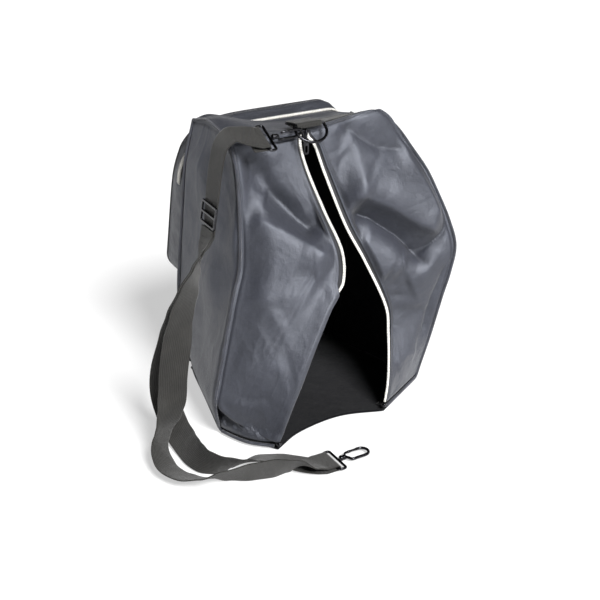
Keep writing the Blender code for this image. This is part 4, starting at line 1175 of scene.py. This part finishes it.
# ---------------------------------------------------------------- rear pocket
def back_depth(z):
    """y of the back panel's outer face at height z, with a little clearance."""
    heights = [p[2] for p in LEFT_BACK][::-1]
    depths = [p[1] for p in LEFT_BACK][::-1]
    return np.interp(z, heights, depths) + FABRIC / 2 + GAP


def pocket_taper(pair, z):
    """The value at height z of a pocket size given as (at the top, at the bottom)."""
    return pair[0] + (pair[1] - pair[0]) * (POCKET_TOP - z) / (POCKET_TOP - POCKET_BOTTOM)


def rounded_rectangle(half_x, half_y, radius, steps=8, centre=(0.0, 0.0)):
    """The outline of a rectangle with round corners, as (x, y) pairs."""
    points = []
    for corner, (sign_x, sign_y) in enumerate(((1, 1), (-1, 1), (-1, -1), (1, -1))):
        for step in range(steps + 1):
            angle = math.pi / 2 * (corner + step / steps)
            points.append((
                centre[0] + sign_x * (half_x - radius) + radius * math.cos(angle),
                centre[1] + sign_y * (half_y - radius) + radius * math.sin(angle),
            ))
    return points


POCKET_ZIP_RISE = 0.0015  # how far the zip stands out of the gusset
TOP_ZIP_HEIGHT = 0.3825  # the top leg of the pocket zip lies on the sagging rear edge of the top panel
SLUMPED_CORNER = (-POCKET_HALF_WIDTH[0], POCKET_TOP)  # (x, z) of the top corner that has dropped in use
CORNER_SLUMP = (0.0150, 0.0, -0.0120)
LEFT_LEG_SHIFT = 0.0200  # the left leg of the pocket zip runs this much further out on the gusset


def pocket_loop(count):
    """The pocket's outline as evenly spaced points, from the bottom centre round by the left."""
    middle, half = (POCKET_TOP + POCKET_BOTTOM) / 2, (POCKET_TOP - POCKET_BOTTOM) / 2
    corners = rounded_rectangle(POCKET_HALF_WIDTH[0], half, POCKET_CORNER, 12, (0.0, middle))
    corners = [(x * pocket_taper(POCKET_HALF_WIDTH, z) / POCKET_HALF_WIDTH[0], 0.0, z) for x, z in corners]
    turn = max(k for k, p in enumerate(corners) if p[0] < 0 and p[2] < middle)
    start = (0.0, 0.0, POCKET_BOTTOM)
    line = [start, *corners[: turn + 1][::-1], *corners[turn + 1:][::-1], start]
    loop = resample(line, count + 1)[:-1]
    slump = np.exp(-(np.hypot(loop[:, 0] - SLUMPED_CORNER[0], loop[:, 2] - SLUMPED_CORNER[1]) / 0.052) ** 2)
    return loop + slump[:, None] * np.array(CORNER_SLUMP)


def top_sag(loop):
    """How far the inner edge of the gusset drops along the top, to stay on the top panel's rear edge."""
    flat = ramp(loop[:, 2], POCKET_TOP - 0.030, POCKET_TOP - 0.004)
    return (POCKET_TOP - TOP_ZIP_HEIGHT) * flat


def left_leg(loop):
    """0 on the top and right legs of the pocket's zip, rising to 1 down its left leg."""
    return ramp(-loop[:, 0], 0.090, 0.140) * ramp(POCKET_TOP - 0.004 - loop[:, 2], 0.0, 0.055)


def build_pocket():
    """The rear pocket: its gusset, piped rim, outer panel and zip."""
    loop = pocket_loop(360)
    root, depth = back_depth(loop[:, 2]), pocket_taper(POCKET_DEPTH, loop[:, 2])
    zipped = ramp(loop[:, 2], POCKET_ZIP_END, POCKET_ZIP_END + 0.006)
    tangent = unit(np.roll(loop, -1, axis=0) - np.roll(loop, 1, axis=0))
    outward = unit(np.cross(tangent, BACK))
    if (outward * (loop - loop.mean(axis=0))).sum() < 0:
        outward = -outward
    shares = np.linspace(0.0, 1.0, 22)
    inner = root + zipped * (POCKET_ZIP_WIDTH + GAP) * (loop[:, 0] > -0.080)
    outer = root + depth
    rows = np.repeat(loop[None, :, :], len(shares), axis=0)
    rows[..., 1] = inner[None, :] + (outer - inner)[None, :] * shares[:, None]
    girth = np.linspace(0.0, length_of(np.vstack([loop, loop[:1]])), len(loop))
    u, v = np.meshgrid(girth, shares * float(depth.mean()))
    arch = np.sin(np.pi * shares)[:, None]
    bulge = 0.0016 * arch + 0.0016 * swell(u, v, 0.045, 140) * arch
    pucker = 0.0008 * (creases(u, v, 0.016, 144, 0.6, 0) - CREASE_MEAN) * ramp(shares, 0.0, 0.2)[:, None]
    normals = np.repeat(outward[None], len(shares), axis=0)
    raised = POCKET_ZIP_RISE * zipped[None, :] * (1 - ramp(shares, 0.0, 0.55))[:, None]
    sunk = (1 - ramp(shares, 0.0, 0.7))[:, None] * top_sag(loop)[None, :]
    rows[..., 2] -= sunk
    rows = rows + normals * (raised + bulge + pucker * ramp(1 - shares, 0.0, 0.15)[:, None])[..., None]
    # the gusset is cut from the darker copy of the nylon, as painted shade
    panel("pocket_wall", rows, normals, u, v, ["pocket_gusset"], ("nylon_painted_shade", "lining"), closed=True)
    rim = rows[-1] + BACK * 0.0012 + outward * 0.0004
    wire_object("pocket_cord", rim, PIPING_RADIUS * 0.8, "binding", closed=True)

    build_pocket_face(loop, outer)
    build_pocket_zip(loop, outward)


def build_pocket_face(loop, outer):
    """The pocket's outer panel, cushioned inside its piped rim and puckered along the seam."""
    middle = (POCKET_TOP + POCKET_BOTTOM) / 2
    rim = np.stack([loop[:, 0], outer + FABRIC + GAP * 0.6, loop[:, 2]], axis=-1)
    centre = np.array([0.0, back_depth(middle) + pocket_taper(POCKET_DEPTH, middle) + 0.007, middle])
    scales = np.linspace(0.992, 0.0, 60)
    rings = []
    for scale in scales:
        ring = centre + (rim - centre) * scale
        ring[:, 1] = centre[1] + (rim[:, 1] - centre[1]) * scale**3
        rings.append(ring)
    rows = np.array(rings)
    u, v = rows[..., 0] + 0.2, rows[..., 2]
    lift = 0.0024 * swell(u, v, 0.07, 160) + 0.0012 * (creases(u, v, 0.05, 164, 2.0, 80) - CREASE_MEAN)
    near_rim = ramp(1 - scales, 0.0, 0.10)[:, None]
    ripples = np.sin(np.linspace(0, 2 * np.pi * 64, len(loop)))[None, :]
    puckers = 0.0007 * ripples * np.exp(-((scales - 0.95) / 0.05) ** 2)[:, None]
    rows[..., 1] += lift * near_rim + puckers
    normals = np.tile(BACK, (*rows.shape[:2], 1))
    panel("pocket_face", rows, normals, u, v, ["pocket_panel"], closed=True)


POCKET_ZIP_PITCH = 0.00125  # of the pocket zip's teeth, counting both rows


def build_pocket_zip(loop, outward):
    """The pocket's zip over the top of its gusset and down both sides: tape and two rows of teeth."""
    keep = np.where(loop[:, 2] > POCKET_ZIP_END + 0.004)[0]
    line, out = loop[keep].copy(), outward[keep]
    line[:, 1] = back_depth(line[:, 2]) + LEFT_LEG_SHIFT * left_leg(line)
    line[:, 2] -= top_sag(loop[keep])
    line = line + out * (0.0022 * ramp(-line[:, 0], 0.060, 0.085))[:, None]
    line = line + out * (POCKET_ZIP_RISE * ramp(line[:, 2], POCKET_ZIP_END, POCKET_ZIP_END + 0.03))[:, None]
    widths = np.linspace(0.0002, POCKET_ZIP_WIDTH - 0.0002, 7)
    rows = np.stack([line + BACK * w - out * 0.0004 for w in widths], axis=0)
    normals = np.repeat(out[None], len(widths), axis=0)
    sheet_object(
        "pocket_zip_tape", rows, normals, ("tape",), ZIP_TAPE, body="bag", slot="binding", replaces=["pocket_zip"]
    )
    middle = line + BACK * (POCKET_ZIP_WIDTH / 2) + out * 0.0008
    count = int(length_of(middle) / POCKET_ZIP_PITCH)
    along = unit(np.gradient(middle, axis=0))
    template, faces = bead(0.00058, 0.0030, 0.0011, 0.30)
    places = []
    for k in range(count):
        spot = (k + 0.5) / count * (len(middle) - 1)
        low = int(spot)
        centre = middle[low] + (middle[low + 1] - middle[low]) * (spot - low)
        centre = centre + BACK * (0.0014 if k % 2 else -0.0014)
        places.append((centre, np.array([along[low], unit(np.cross(out[low], along[low])), out[low]])))
    scatter("pocket_zip_teeth", template, faces, places, "coil", body="bag", slot="zip")


# ---------------------------------------------------------------- webbing
def webbing_object(name, run, width=WEBBING_WIDTH, **others):
    """Flat webbing with softly rounded edges along (centre, width direction) pairs."""
    centres = np.array([c for c, _ in run], float)
    widths = np.array([w for _, w in run], float)
    along = unit(np.gradient(centres, axis=0))
    widths = unit(widths - along * (widths * along).sum(axis=1, keepdims=True))
    spots = np.linspace(-0.5, 0.5, 13)
    rows = centres[:, None, :] + widths[:, None, :] * (spots * width)[None, :, None]
    normals = np.repeat(np.cross(along, widths)[:, None, :], len(spots), axis=1)
    length = np.r_[0.0, np.cumsum(np.linalg.norm(np.diff(centres, axis=0), axis=1))]
    uv = np.stack(np.broadcast_arrays((spots * width)[None, :], length[:, None]), axis=-1)
    thing = sheet_object(name, rows, normals, ("webbing",), WEBBING, uv=uv, **others)
    edge = thing.modifiers.new("soft_edge", "BEVEL")
    edge.width = 0.0005
    edge.segments = 2
    return thing, float(length[-1]), rows, normals


def strap_run(stations, count):
    """Evenly spaced (centre, width direction) pairs along a strand, turning smoothly between its stations."""
    centres = smooth_line([centre for centre, _ in stations], count)
    spots = np.array([centre for centre, _ in stations], float)
    widths = np.array([width for _, width in stations], float)
    spans = np.r_[0.0, np.cumsum(np.linalg.norm(np.diff(spots, axis=0), axis=1))]
    target = np.linspace(0.0, spans[-1], count)
    k = np.clip(np.searchsorted(spans, target + 1e-9, side="right") - 1, 0, len(spans) - 2)
    share = ((target - spans[k]) / (spans[k + 1] - spans[k]))[:, None]
    share = share * share * (3 - 2 * share)
    return list(zip(centres, widths[k] * (1 - share) + widths[k + 1] * share))


def strap_turn(bar, away, up, width, radius):
    """The half turn of webbing round a bar."""
    angles = np.linspace(0.0, math.pi, 15)
    return [(bar + (away * math.sin(a) + up * math.cos(a)) * radius, width) for a in angles]


def hook_frame(centre, across, width):
    """Where a hook lies: its eye's centre, the direction across it and the direction of its eye's width."""
    return tuple(np.array(vector, float) for vector in (centre, across, width))


FRONT_HOOK = hook_frame((-0.0740, -0.0700, 0.4012), (0.0, -0.64, 0.77), (0.0, 0.88, 0.47))
LOOSE_HOOK = hook_frame((-0.0700, -0.2415, 0.0050), (0.0, 1.0, 0.0), (0.0, -1.0, 0.0))
HOOK_EYE_HALF = (0.0050, 0.0225)  # along the hook, across it
HOOK_BARREL = (0.0085, 0.0180)  # where the swivel's barrel starts and ends, from the eye's centre
HOOK_LOOP_END = 0.0520
HOOK_LOOP_HALF = 0.0090


def build_strap():
    """One length of webbing from the front hook, past the adjuster, round the loose hook and back."""
    radius = EYE_WIRE_RADIUS + 0.0005 + WEBBING / 2
    centre, _, width = FRONT_HOOK
    width = unit(width)
    up = np.cross(FORWARD, width)
    up = up if up[2] > 0 else -up
    bar = centre - FORWARD * HOOK_EYE_HALF[0]
    sewn = [(bar - FORWARD * 0.020 - up * 0.0024, width), (bar - FORWARD * 0.010 - up * 0.0026, width)]
    front_turn = [*sewn, *reversed(strap_turn(bar, FORWARD, up, width, radius))]
    centre, _, width = LOOSE_HOOK
    bar = centre - FORWARD * HOOK_EYE_HALF[0]
    loose_turn = strap_turn(bar, FORWARD, UP, -unit(width), radius)
    descent = strap_run([*STRAP_TO_ADJUSTER, *STRAP_FRONT_STRAND], 300)
    run = [*front_turn, *descent, *loose_turn, *strap_run(STRAP_BACK_STRAND, 220)]
    strap, length, rows, normals = webbing_object(
        "strap_webbing", run, body="bag", slot="webbing", replaces=["shoulder_strap"]
    )
    for name, row in (("front", len(front_turn) + 8), ("lower", len(rows) - 6)):
        for k, shift in enumerate((0, 3)):
            line = rows[row - shift, 1:-1]
            side = 1.0 if normals[row, 6] @ np.array((-0.5, -0.8, 0.4)) > 0 else -1.0
            stitches(
                f"strap_stitch_{name}_{k}", line, normals[row, 1:-1] * side, "bag", "webbing",
                lift=WEBBING_STITCH_LIFT,
            )


def build_ring_tab(name, centre, bar_y, bar_z, sewn_to, replaces):
    """A tab of webbing sewn to the bag, folded round a ring's bar."""
    radius = WIRE_RADIUS + 0.0006 + WEBBING / 2
    first, last = (np.array([0.0, *end]) for end in sewn_to)
    bar = np.array([0.0, bar_y, bar_z])
    towards = unit((first + last) / 2 - bar)
    base = math.atan2(towards[2], towards[1])
    angles = base + np.radians(80) + np.radians(200) * np.linspace(0.0, 1.0, 17)
    arc = [bar + np.array([0.0, math.cos(a), math.sin(a)]) * radius for a in angles]
    if np.linalg.norm(arc[0] - first) > np.linalg.norm(arc[-1] - first):
        first, last = last, first
    steps = (0.0, 0.2, 0.4, 0.6, 0.8)
    profile = [first + (arc[0] - first) * k for k in steps] + arc
    profile += [last + (arc[-1] - last) * k for k in steps[::-1]]
    run = [(p + np.array([centre, 0.0, 0.0]), FORWARD) for p in profile]
    _, _, rows, normals = webbing_object(name, run, body="bag", slot="webbing", replaces=replaces)
    return rows, normals


# ---------------------------------------------------------------- hardware
def ring_points(bar, hang):
    """A D-shaped loop: straight bar, rounded corners, short legs and an arc."""
    leg = RING_DEPTH * 0.30
    points = [bar + FORWARD * RING_HALF_WIDTH * x for x in (-0.90, -0.45, 0.0, 0.45, 0.90)]
    points.append(bar + FORWARD * RING_HALF_WIDTH * 0.995 + hang * 0.0022)
    for a in np.linspace(0.0, math.pi, 25):
        down = leg + (RING_DEPTH - leg) * math.sin(a)
        points.append(bar + FORWARD * RING_HALF_WIDTH * math.cos(a) + hang * down)
    points.append(bar - FORWARD * RING_HALF_WIDTH * 0.995 + hang * 0.0022)
    return smooth_line(points, 180, closed=True)[:-1]


def lathe(name, profile, base, axis, material, **others):
    """A turned solid: profile holds (distance along the axis, radius)."""
    segments = 32
    axis = unit(axis)
    side = unit(np.cross(axis, UP if abs(axis[2]) < 0.9 else BACK))
    other = np.cross(axis, side)
    angles = np.linspace(0.0, 2 * math.pi, segments, endpoint=False)
    circle = np.cos(angles)[:, None] * side + np.sin(angles)[:, None] * other
    points = np.vstack([base + axis * along + circle * radius for along, radius in profile])
    faces = [tuple(f) for f in grid_faces(len(profile), segments, closed=True)]
    faces.append(tuple(range(segments))[::-1])
    faces.append(tuple(range(len(points) - segments, len(points))))
    thing = mesh_object(name, points, faces, material, **others)
    edge = thing.modifiers.new("edge", "BEVEL")
    edge.width = 0.0003
    edge.segments = 2
    edge.limit_method = "ANGLE"
    return thing


def build_hook(prefix, frame_axes):
    """A swivel snap hook: webbing eye, turned swivel, wire jaw and sprung gate."""
    centre, across, width = frame_axes
    across, width = unit(across), unit(width)
    half_x, half_w = HOOK_EYE_HALF
    loop = rounded_rectangle(half_x, half_w, 0.003, 6)
    eye = np.array([centre + FORWARD * x + width * w for x, w in loop])
    eye = resample(np.vstack([eye, eye[:1]]), 140)[:-1]
    wire_object(prefix + "_ring", eye, EYE_WIRE_RADIUS, "gunmetal", closed=True,
                replaces=[prefix + "_eye"])

    def spot(x, n):
        return centre + FORWARD * x + across * n

    start, end = HOOK_BARREL
    radius = HOOK_LOOP_HALF
    bend = HOOK_LOOP_END - radius
    jaw = [spot(end - 0.004, 0.0), spot(end - 0.001, 0.0), spot(end + 0.0015, -0.0035), spot(end + 0.005, -radius)]
    jaw += [spot(end + (bend - end) * k, -radius) for k in (0.5, 0.8)]
    for angle in np.linspace(-math.pi / 2, math.pi / 2, 9):
        jaw.append(spot(bend + radius * math.cos(angle), radius * math.sin(angle)))
    nose = bend - 0.004
    jaw.append(spot(nose, radius))
    wire_object(prefix + "_jaw", smooth_line(jaw, 120), WIRE_RADIUS, "gunmetal", body=prefix,
                replaces=[prefix + "_body"])
    span = end - start
    profile = [
        (-0.0002, 0.0016), (0.0, 0.0034), (0.0012, 0.0040), (0.0030, 0.0040), (0.0036, 0.0031), (0.0046, 0.0031),
        (0.0052, 0.0038), (span - 0.0016, 0.0036), (span - 0.0004, 0.0030), (span, 0.0022),
    ]
    lathe(prefix + "_swivel", profile, spot(start, 0.0), FORWARD, "gunmetal", body=prefix, slot="gunmetal")
    gate_start, gate_end = end + 0.0015, nose - 0.0006
    gate = [spot(gate_start, radius - 0.0030), spot(gate_start + 0.004, radius - 0.0006), spot(gate_end, radius)]
    wire_object(prefix + "_catch", smooth_line(gate, 40), WIRE_RADIUS * 0.8, "gunmetal", body=prefix + "_gate",
                replaces=[prefix + "_gate"])
    knob = spot(gate_start + (gate_end - gate_start) * 0.45, radius - 0.0004)
    profile = [(-0.0022, 0.0009), (-0.0017, 0.0019), (0.0017, 0.0019), (0.0022, 0.0009)]
    lathe(prefix + "_thumb", profile, knob, FORWARD, "gunmetal", body=prefix + "_gate", slot="gunmetal")


def frame_matrix(origin, x_axis, y_axis):
    """The placement at a point with x along x_axis and y as near y_axis as it can be."""
    x_axis = unit(x_axis)
    z_axis = unit(np.cross(x_axis, y_axis))
    y_axis = np.cross(z_axis, x_axis)
    matrix = Matrix.Identity(4)
    for column, axis in enumerate((x_axis, y_axis, z_axis, origin)):
        for row in range(3):
            matrix[row][column] = float(axis[row])
    return matrix


def plate_object(name, outline, thickness, matrix, holes=(), round_edge=0.0004, **others):
    """A cast plate from a flat outline, with holes and rounded edges."""
    curve = bpy.data.curves.new(name, "CURVE")
    curve.dimensions = "2D"
    curve.fill_mode = "BOTH"
    curve.extrude = thickness / 2 - round_edge
    curve.bevel_depth = round_edge
    curve.bevel_resolution = 3
    curve.offset = -round_edge
    for loop in (outline, *holes):
        spline = curve.splines.new("POLY")
        spline.points.add(len(loop) - 1)
        for target, (x, y) in zip(spline.points, loop):
            target.co = (x, y, 0.0, 1.0)
        spline.use_cyclic_u = True
    curve.materials.append(MATERIALS["gunmetal"])
    thing = bpy.data.objects.new(name, curve)
    bpy.context.scene.collection.objects.link(thing)
    thing.matrix_world = matrix
    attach(thing, others["body"])
    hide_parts(*others.get("replaces", ()))
    return thing


def build_puller(name, pivot_point, x_axis, body, replaces):
    """A flat pull tab with a hole for the bail and a window in its grip."""
    length = 0.022
    outline = rounded_rectangle(0.0038, length / 2, 0.0022, 6, (0.0, -length / 2 + 0.003))
    hole = rounded_rectangle(0.0022, 0.0015, 0.0010, 4)[::-1]
    window = rounded_rectangle(0.0018, 0.0048, 0.0016, 5, (0.0, -0.0115))[::-1]
    matrix = frame_matrix(pivot_point, x_axis, UP)
    plate_object(name, outline, 0.0014, matrix, [hole, window], 0.0003, body=body, replaces=replaces)


def build_slider(name, place, x_axis, out, body, replaces):
    """A zip slider: two plates round the teeth, joined by a wedge, with a bail for the puller."""
    x_axis, out = unit(x_axis), unit(out)
    outline = [
        (-0.0030, -0.0055), (-0.0024, -0.0058), (0.0024, -0.0058), (0.0030, -0.0055), (0.0036, 0.0010),
        (0.0046, 0.0040), (0.0040, 0.0054), (0.0020, 0.0057), (0.0, 0.0040), (-0.0020, 0.0057),
        (-0.0040, 0.0054), (-0.0046, 0.0040), (-0.0036, 0.0010),
    ]
    for label, shift in (("outer", 0.0014), ("inner", -0.0014)):
        matrix = frame_matrix(place + out * shift, x_axis, UP)
        plate_object(f"{name}_{label}", outline, 0.0011, matrix, (), 0.00035, body=body,
                     replaces=replaces if label == "outer" else ())
    template, faces = bead(0.0013, 0.0030, 0.0014, 0.3)
    wedge = [(place + UP * 0.0015, np.array([x_axis, UP, out]))]
    scatter(name + "_wedge", template, faces, wedge, "gunmetal", body=body, slot="gunmetal")
    route = (  # (out of the cloth, up) from the slider's centre
        (0.0016, 0.0035), (0.0036, 0.0022), (0.0040, -0.0030), (0.0036, -0.0080), (0.0028, -0.0088),
        (0.0018, -0.0075), (0.0016, -0.0045),
    )
    bail = [place + out * away + UP * height for away, height in route]
    wire_object(name + "_bail", smooth_line(bail, 40), 0.0006, "gunmetal", body=body)


ADJUSTER_PLACE = (-0.1489, -0.0545, 0.3050)


def build_triglide():
    """The two-slot adjuster frame on the webbing."""
    top, above = (np.array(STRAP_TO_ADJUSTER[k][0]) for k in (-1, -2))
    direction, width = unit(top - above), unit((0.05, 1.0, 0.0))
    outward = unit(np.cross(direction, width))
    outward = -outward if outward[0] > 0 else outward
    thickness, half_x, half_y, bar = 0.0030, 0.0240, 0.0155, 0.0035
    place = np.array(ADJUSTER_PLACE) + outward * (WEBBING / 2 + thickness / 2 + 0.0012)
    slot_half = (half_y - 1.5 * bar) / 2
    holes = [
        rounded_rectangle(half_x - bar, slot_half, 0.0015, 4, (0.0, sign * (bar / 2 + slot_half)))[::-1]
        for sign in (-1, 1)
    ]
    outline = rounded_rectangle(half_x, half_y, 0.004, 8)
    plate_object("adjuster_frame", outline, thickness, frame_matrix(place, width, -direction), holes, 0.0009,
                 body="strap_triglide", replaces=["strap_triglide"])


RINGS = (  # name, centre of its bar, the way it hangs, (y, z) where its tab's two ends are sewn, tab's outer side
    ("front", (FRONT_RING_X, -0.062, 0.4075), (0.0, -0.77, -0.64), ((-0.032, 0.4037), (-0.032, 0.4062)), UP),
    ("rear", (0.0, 0.1168, 0.3600), (0.0, 0.28, -1.0), ((0.1042, 0.3830), (0.1064, 0.3830)), BACK),
)


def build_hardware():
    """Rings with their tabs, snap hooks, and both zips' sliders and pull tabs."""
    for name, bar, hang, _, _ in RINGS:
        wire_object(
            name + "_ring", ring_points(np.array(bar), unit(hang)), WIRE_RADIUS, "gunmetal", closed=True,
            body=name + "_d_ring", replaces=[name + "_d_ring"], sides=5,
        )
    for name, bar, _, sewn_to, outer in RINGS:
        rows, normals = build_ring_tab(name + "_tab", *bar, sewn_to, [name + "_ring_tab"])
        stitch_tab(name + "_tab_stitch", rows, normals, outer)
    build_hook("front_hook", FRONT_HOOK)
    build_hook("loose_hook", LOOSE_HOOK)
    slider = np.array((ZIP_TOP_X, -0.0600, 0.3955))
    build_slider("main_slider", slider, FORWARD, -BACK, "bag", ["main_zip_slider"])
    pivot = slider + np.array((0.0, -0.0034, -PULLER_DROP))
    build_puller("main_pull_tab", pivot, FORWARD, "main_zip_puller", ["main_zip_puller"])
    side_x = pocket_taper(POCKET_HALF_WIDTH, POCKET_ZIP_END) + FABRIC / 2 + 0.0024
    side_y = float(back_depth(POCKET_ZIP_END)) + POCKET_ZIP_WIDTH / 2
    place = np.array((side_x, side_y, POCKET_ZIP_END + 0.011))
    build_slider("pocket_slider", place, BACK, FORWARD, "pocket_zip_slider", ["pocket_zip_slider"])
    pivot = place + np.array((0.0029, 0.0, -PULLER_DROP))
    build_puller("pocket_pull_tab", pivot, BACK, "pocket_zip_puller", ["pocket_zip_puller"])


def stitch_tab(name, rows, normals, outward):
    """Two rows of stitching across a ring tab near its sewn ends, on its outer face."""
    ends = [row for row in range(len(rows)) if abs(normals[row, 6] @ outward) > 0.6]
    outer = max(ends, key=lambda row: rows[row, 6] @ outward)
    first = 1 if outer < len(rows) / 2 else len(rows) - 2
    step = 1 if first == 1 else -1
    for k in range(2):
        row = first + step * k
        side = np.sign(normals[row, 6] @ outward)
        stitches(
            f"{name}_{k}", rows[row, 1:-1], normals[row, 1:-1] * side, "bag", "webbing", lift=WEBBING_STITCH_LIFT
        )


# ---------------------------------------------------------------- floor, light and camera
FLOOR_REACH = 90.0
HORIZON = (("From Min", 0.085), ("From Max", 0.105))  # heights between which the white backdrop fades out
WORLD_LIGHT = 0.04  # strength of the light from above the backdrop
SUNS = [  # name, where it shines from, angular size in degrees, strength
    ("key", (0.03, -0.74, 0.71), 22.0, 7.4),
    ("fill", (-0.70, -0.70, 0.50), 60.0, 0.05),
]


def build_stage():
    """A wide pale floor, and light that comes from high in front."""
    data = bpy.data.meshes.new("floor")
    corners = [(x * FLOOR_REACH, y * FLOOR_REACH, -0.0004) for x, y in ((-1, -1), (1, -1), (1, 1), (-1, 1))]
    data.from_pydata(corners, [], [(0, 1, 2, 3)])
    data.materials.append(MATERIALS["floor"])
    floor = bpy.data.objects.new("floor", data)
    bpy.context.scene.collection.objects.link(floor)

    world = bpy.data.worlds.new("studio")
    world.use_nodes = True
    background = world.node_tree.nodes["Background"]
    background.inputs["Color"].default_value = (1.0, 1.0, 1.0, 1.0)
    nodes, links = world.node_tree.nodes, world.node_tree.links
    split, fall = nodes.new("ShaderNodeSeparateXYZ"), nodes.new("ShaderNodeMapRange")
    links.new(nodes.new("ShaderNodeTexCoord").outputs["Generated"], split.inputs[0])
    links.new(split.outputs["Z"], fall.inputs["Value"])
    for socket, value in (*HORIZON, ("To Min", 1.0), ("To Max", WORLD_LIGHT)):
        fall.inputs[socket].default_value = value
    links.new(fall.outputs["Result"], background.inputs["Strength"])
    bpy.context.scene.world = world
    for name, direction, angle, strength in SUNS:
        light = bpy.data.lights.new(name, "SUN")
        light.angle, light.energy = math.radians(angle), strength
        lamp = bpy.data.objects.new(name, light)
        bpy.context.scene.collection.objects.link(lamp)
        lamp.rotation_euler = Vector(direction).to_track_quat("Z", "Y").to_euler()


CAMERA_AZIMUTH = -30.0
CAMERA_ELEVATION = 25.0
CAMERA_DISTANCE = 1.70
CAMERA_TARGET = Vector((0.017, 0.0, 0.121))
CAMERA_LENS = 69.0


def build_camera():
    """The view from the front left, a little above."""
    camera = bpy.data.cameras.new("camera")
    camera.lens = CAMERA_LENS
    camera.sensor_width = 36.0
    camera.clip_start, camera.clip_end = 0.05, 60.0
    holder = bpy.data.objects.new("camera", camera)
    bpy.context.scene.collection.objects.link(holder)
    a, e = math.radians(CAMERA_AZIMUTH), math.radians(CAMERA_ELEVATION)
    back = Vector((math.sin(a) * math.cos(e), -math.cos(a) * math.cos(e), math.sin(e)))
    holder.location = CAMERA_TARGET + back * CAMERA_DISTANCE
    holder.rotation_euler = (-back).to_track_quat("-Z", "Y").to_euler()
    bpy.context.scene.camera = holder
    bpy.context.scene.view_settings.view_transform = "Standard"
    bpy.context.scene.view_settings.look = "None"


def main():
    for side in ("left", "right"):
        build_flap(side)
        build_zip(side)
        build_side(side)
    build_top()
    build_back()
    build_base()
    build_piping()
    build_pocket()
    build_strap()
    build_hardware()
    build_triglide()
    build_stage()
    build_camera()


main()
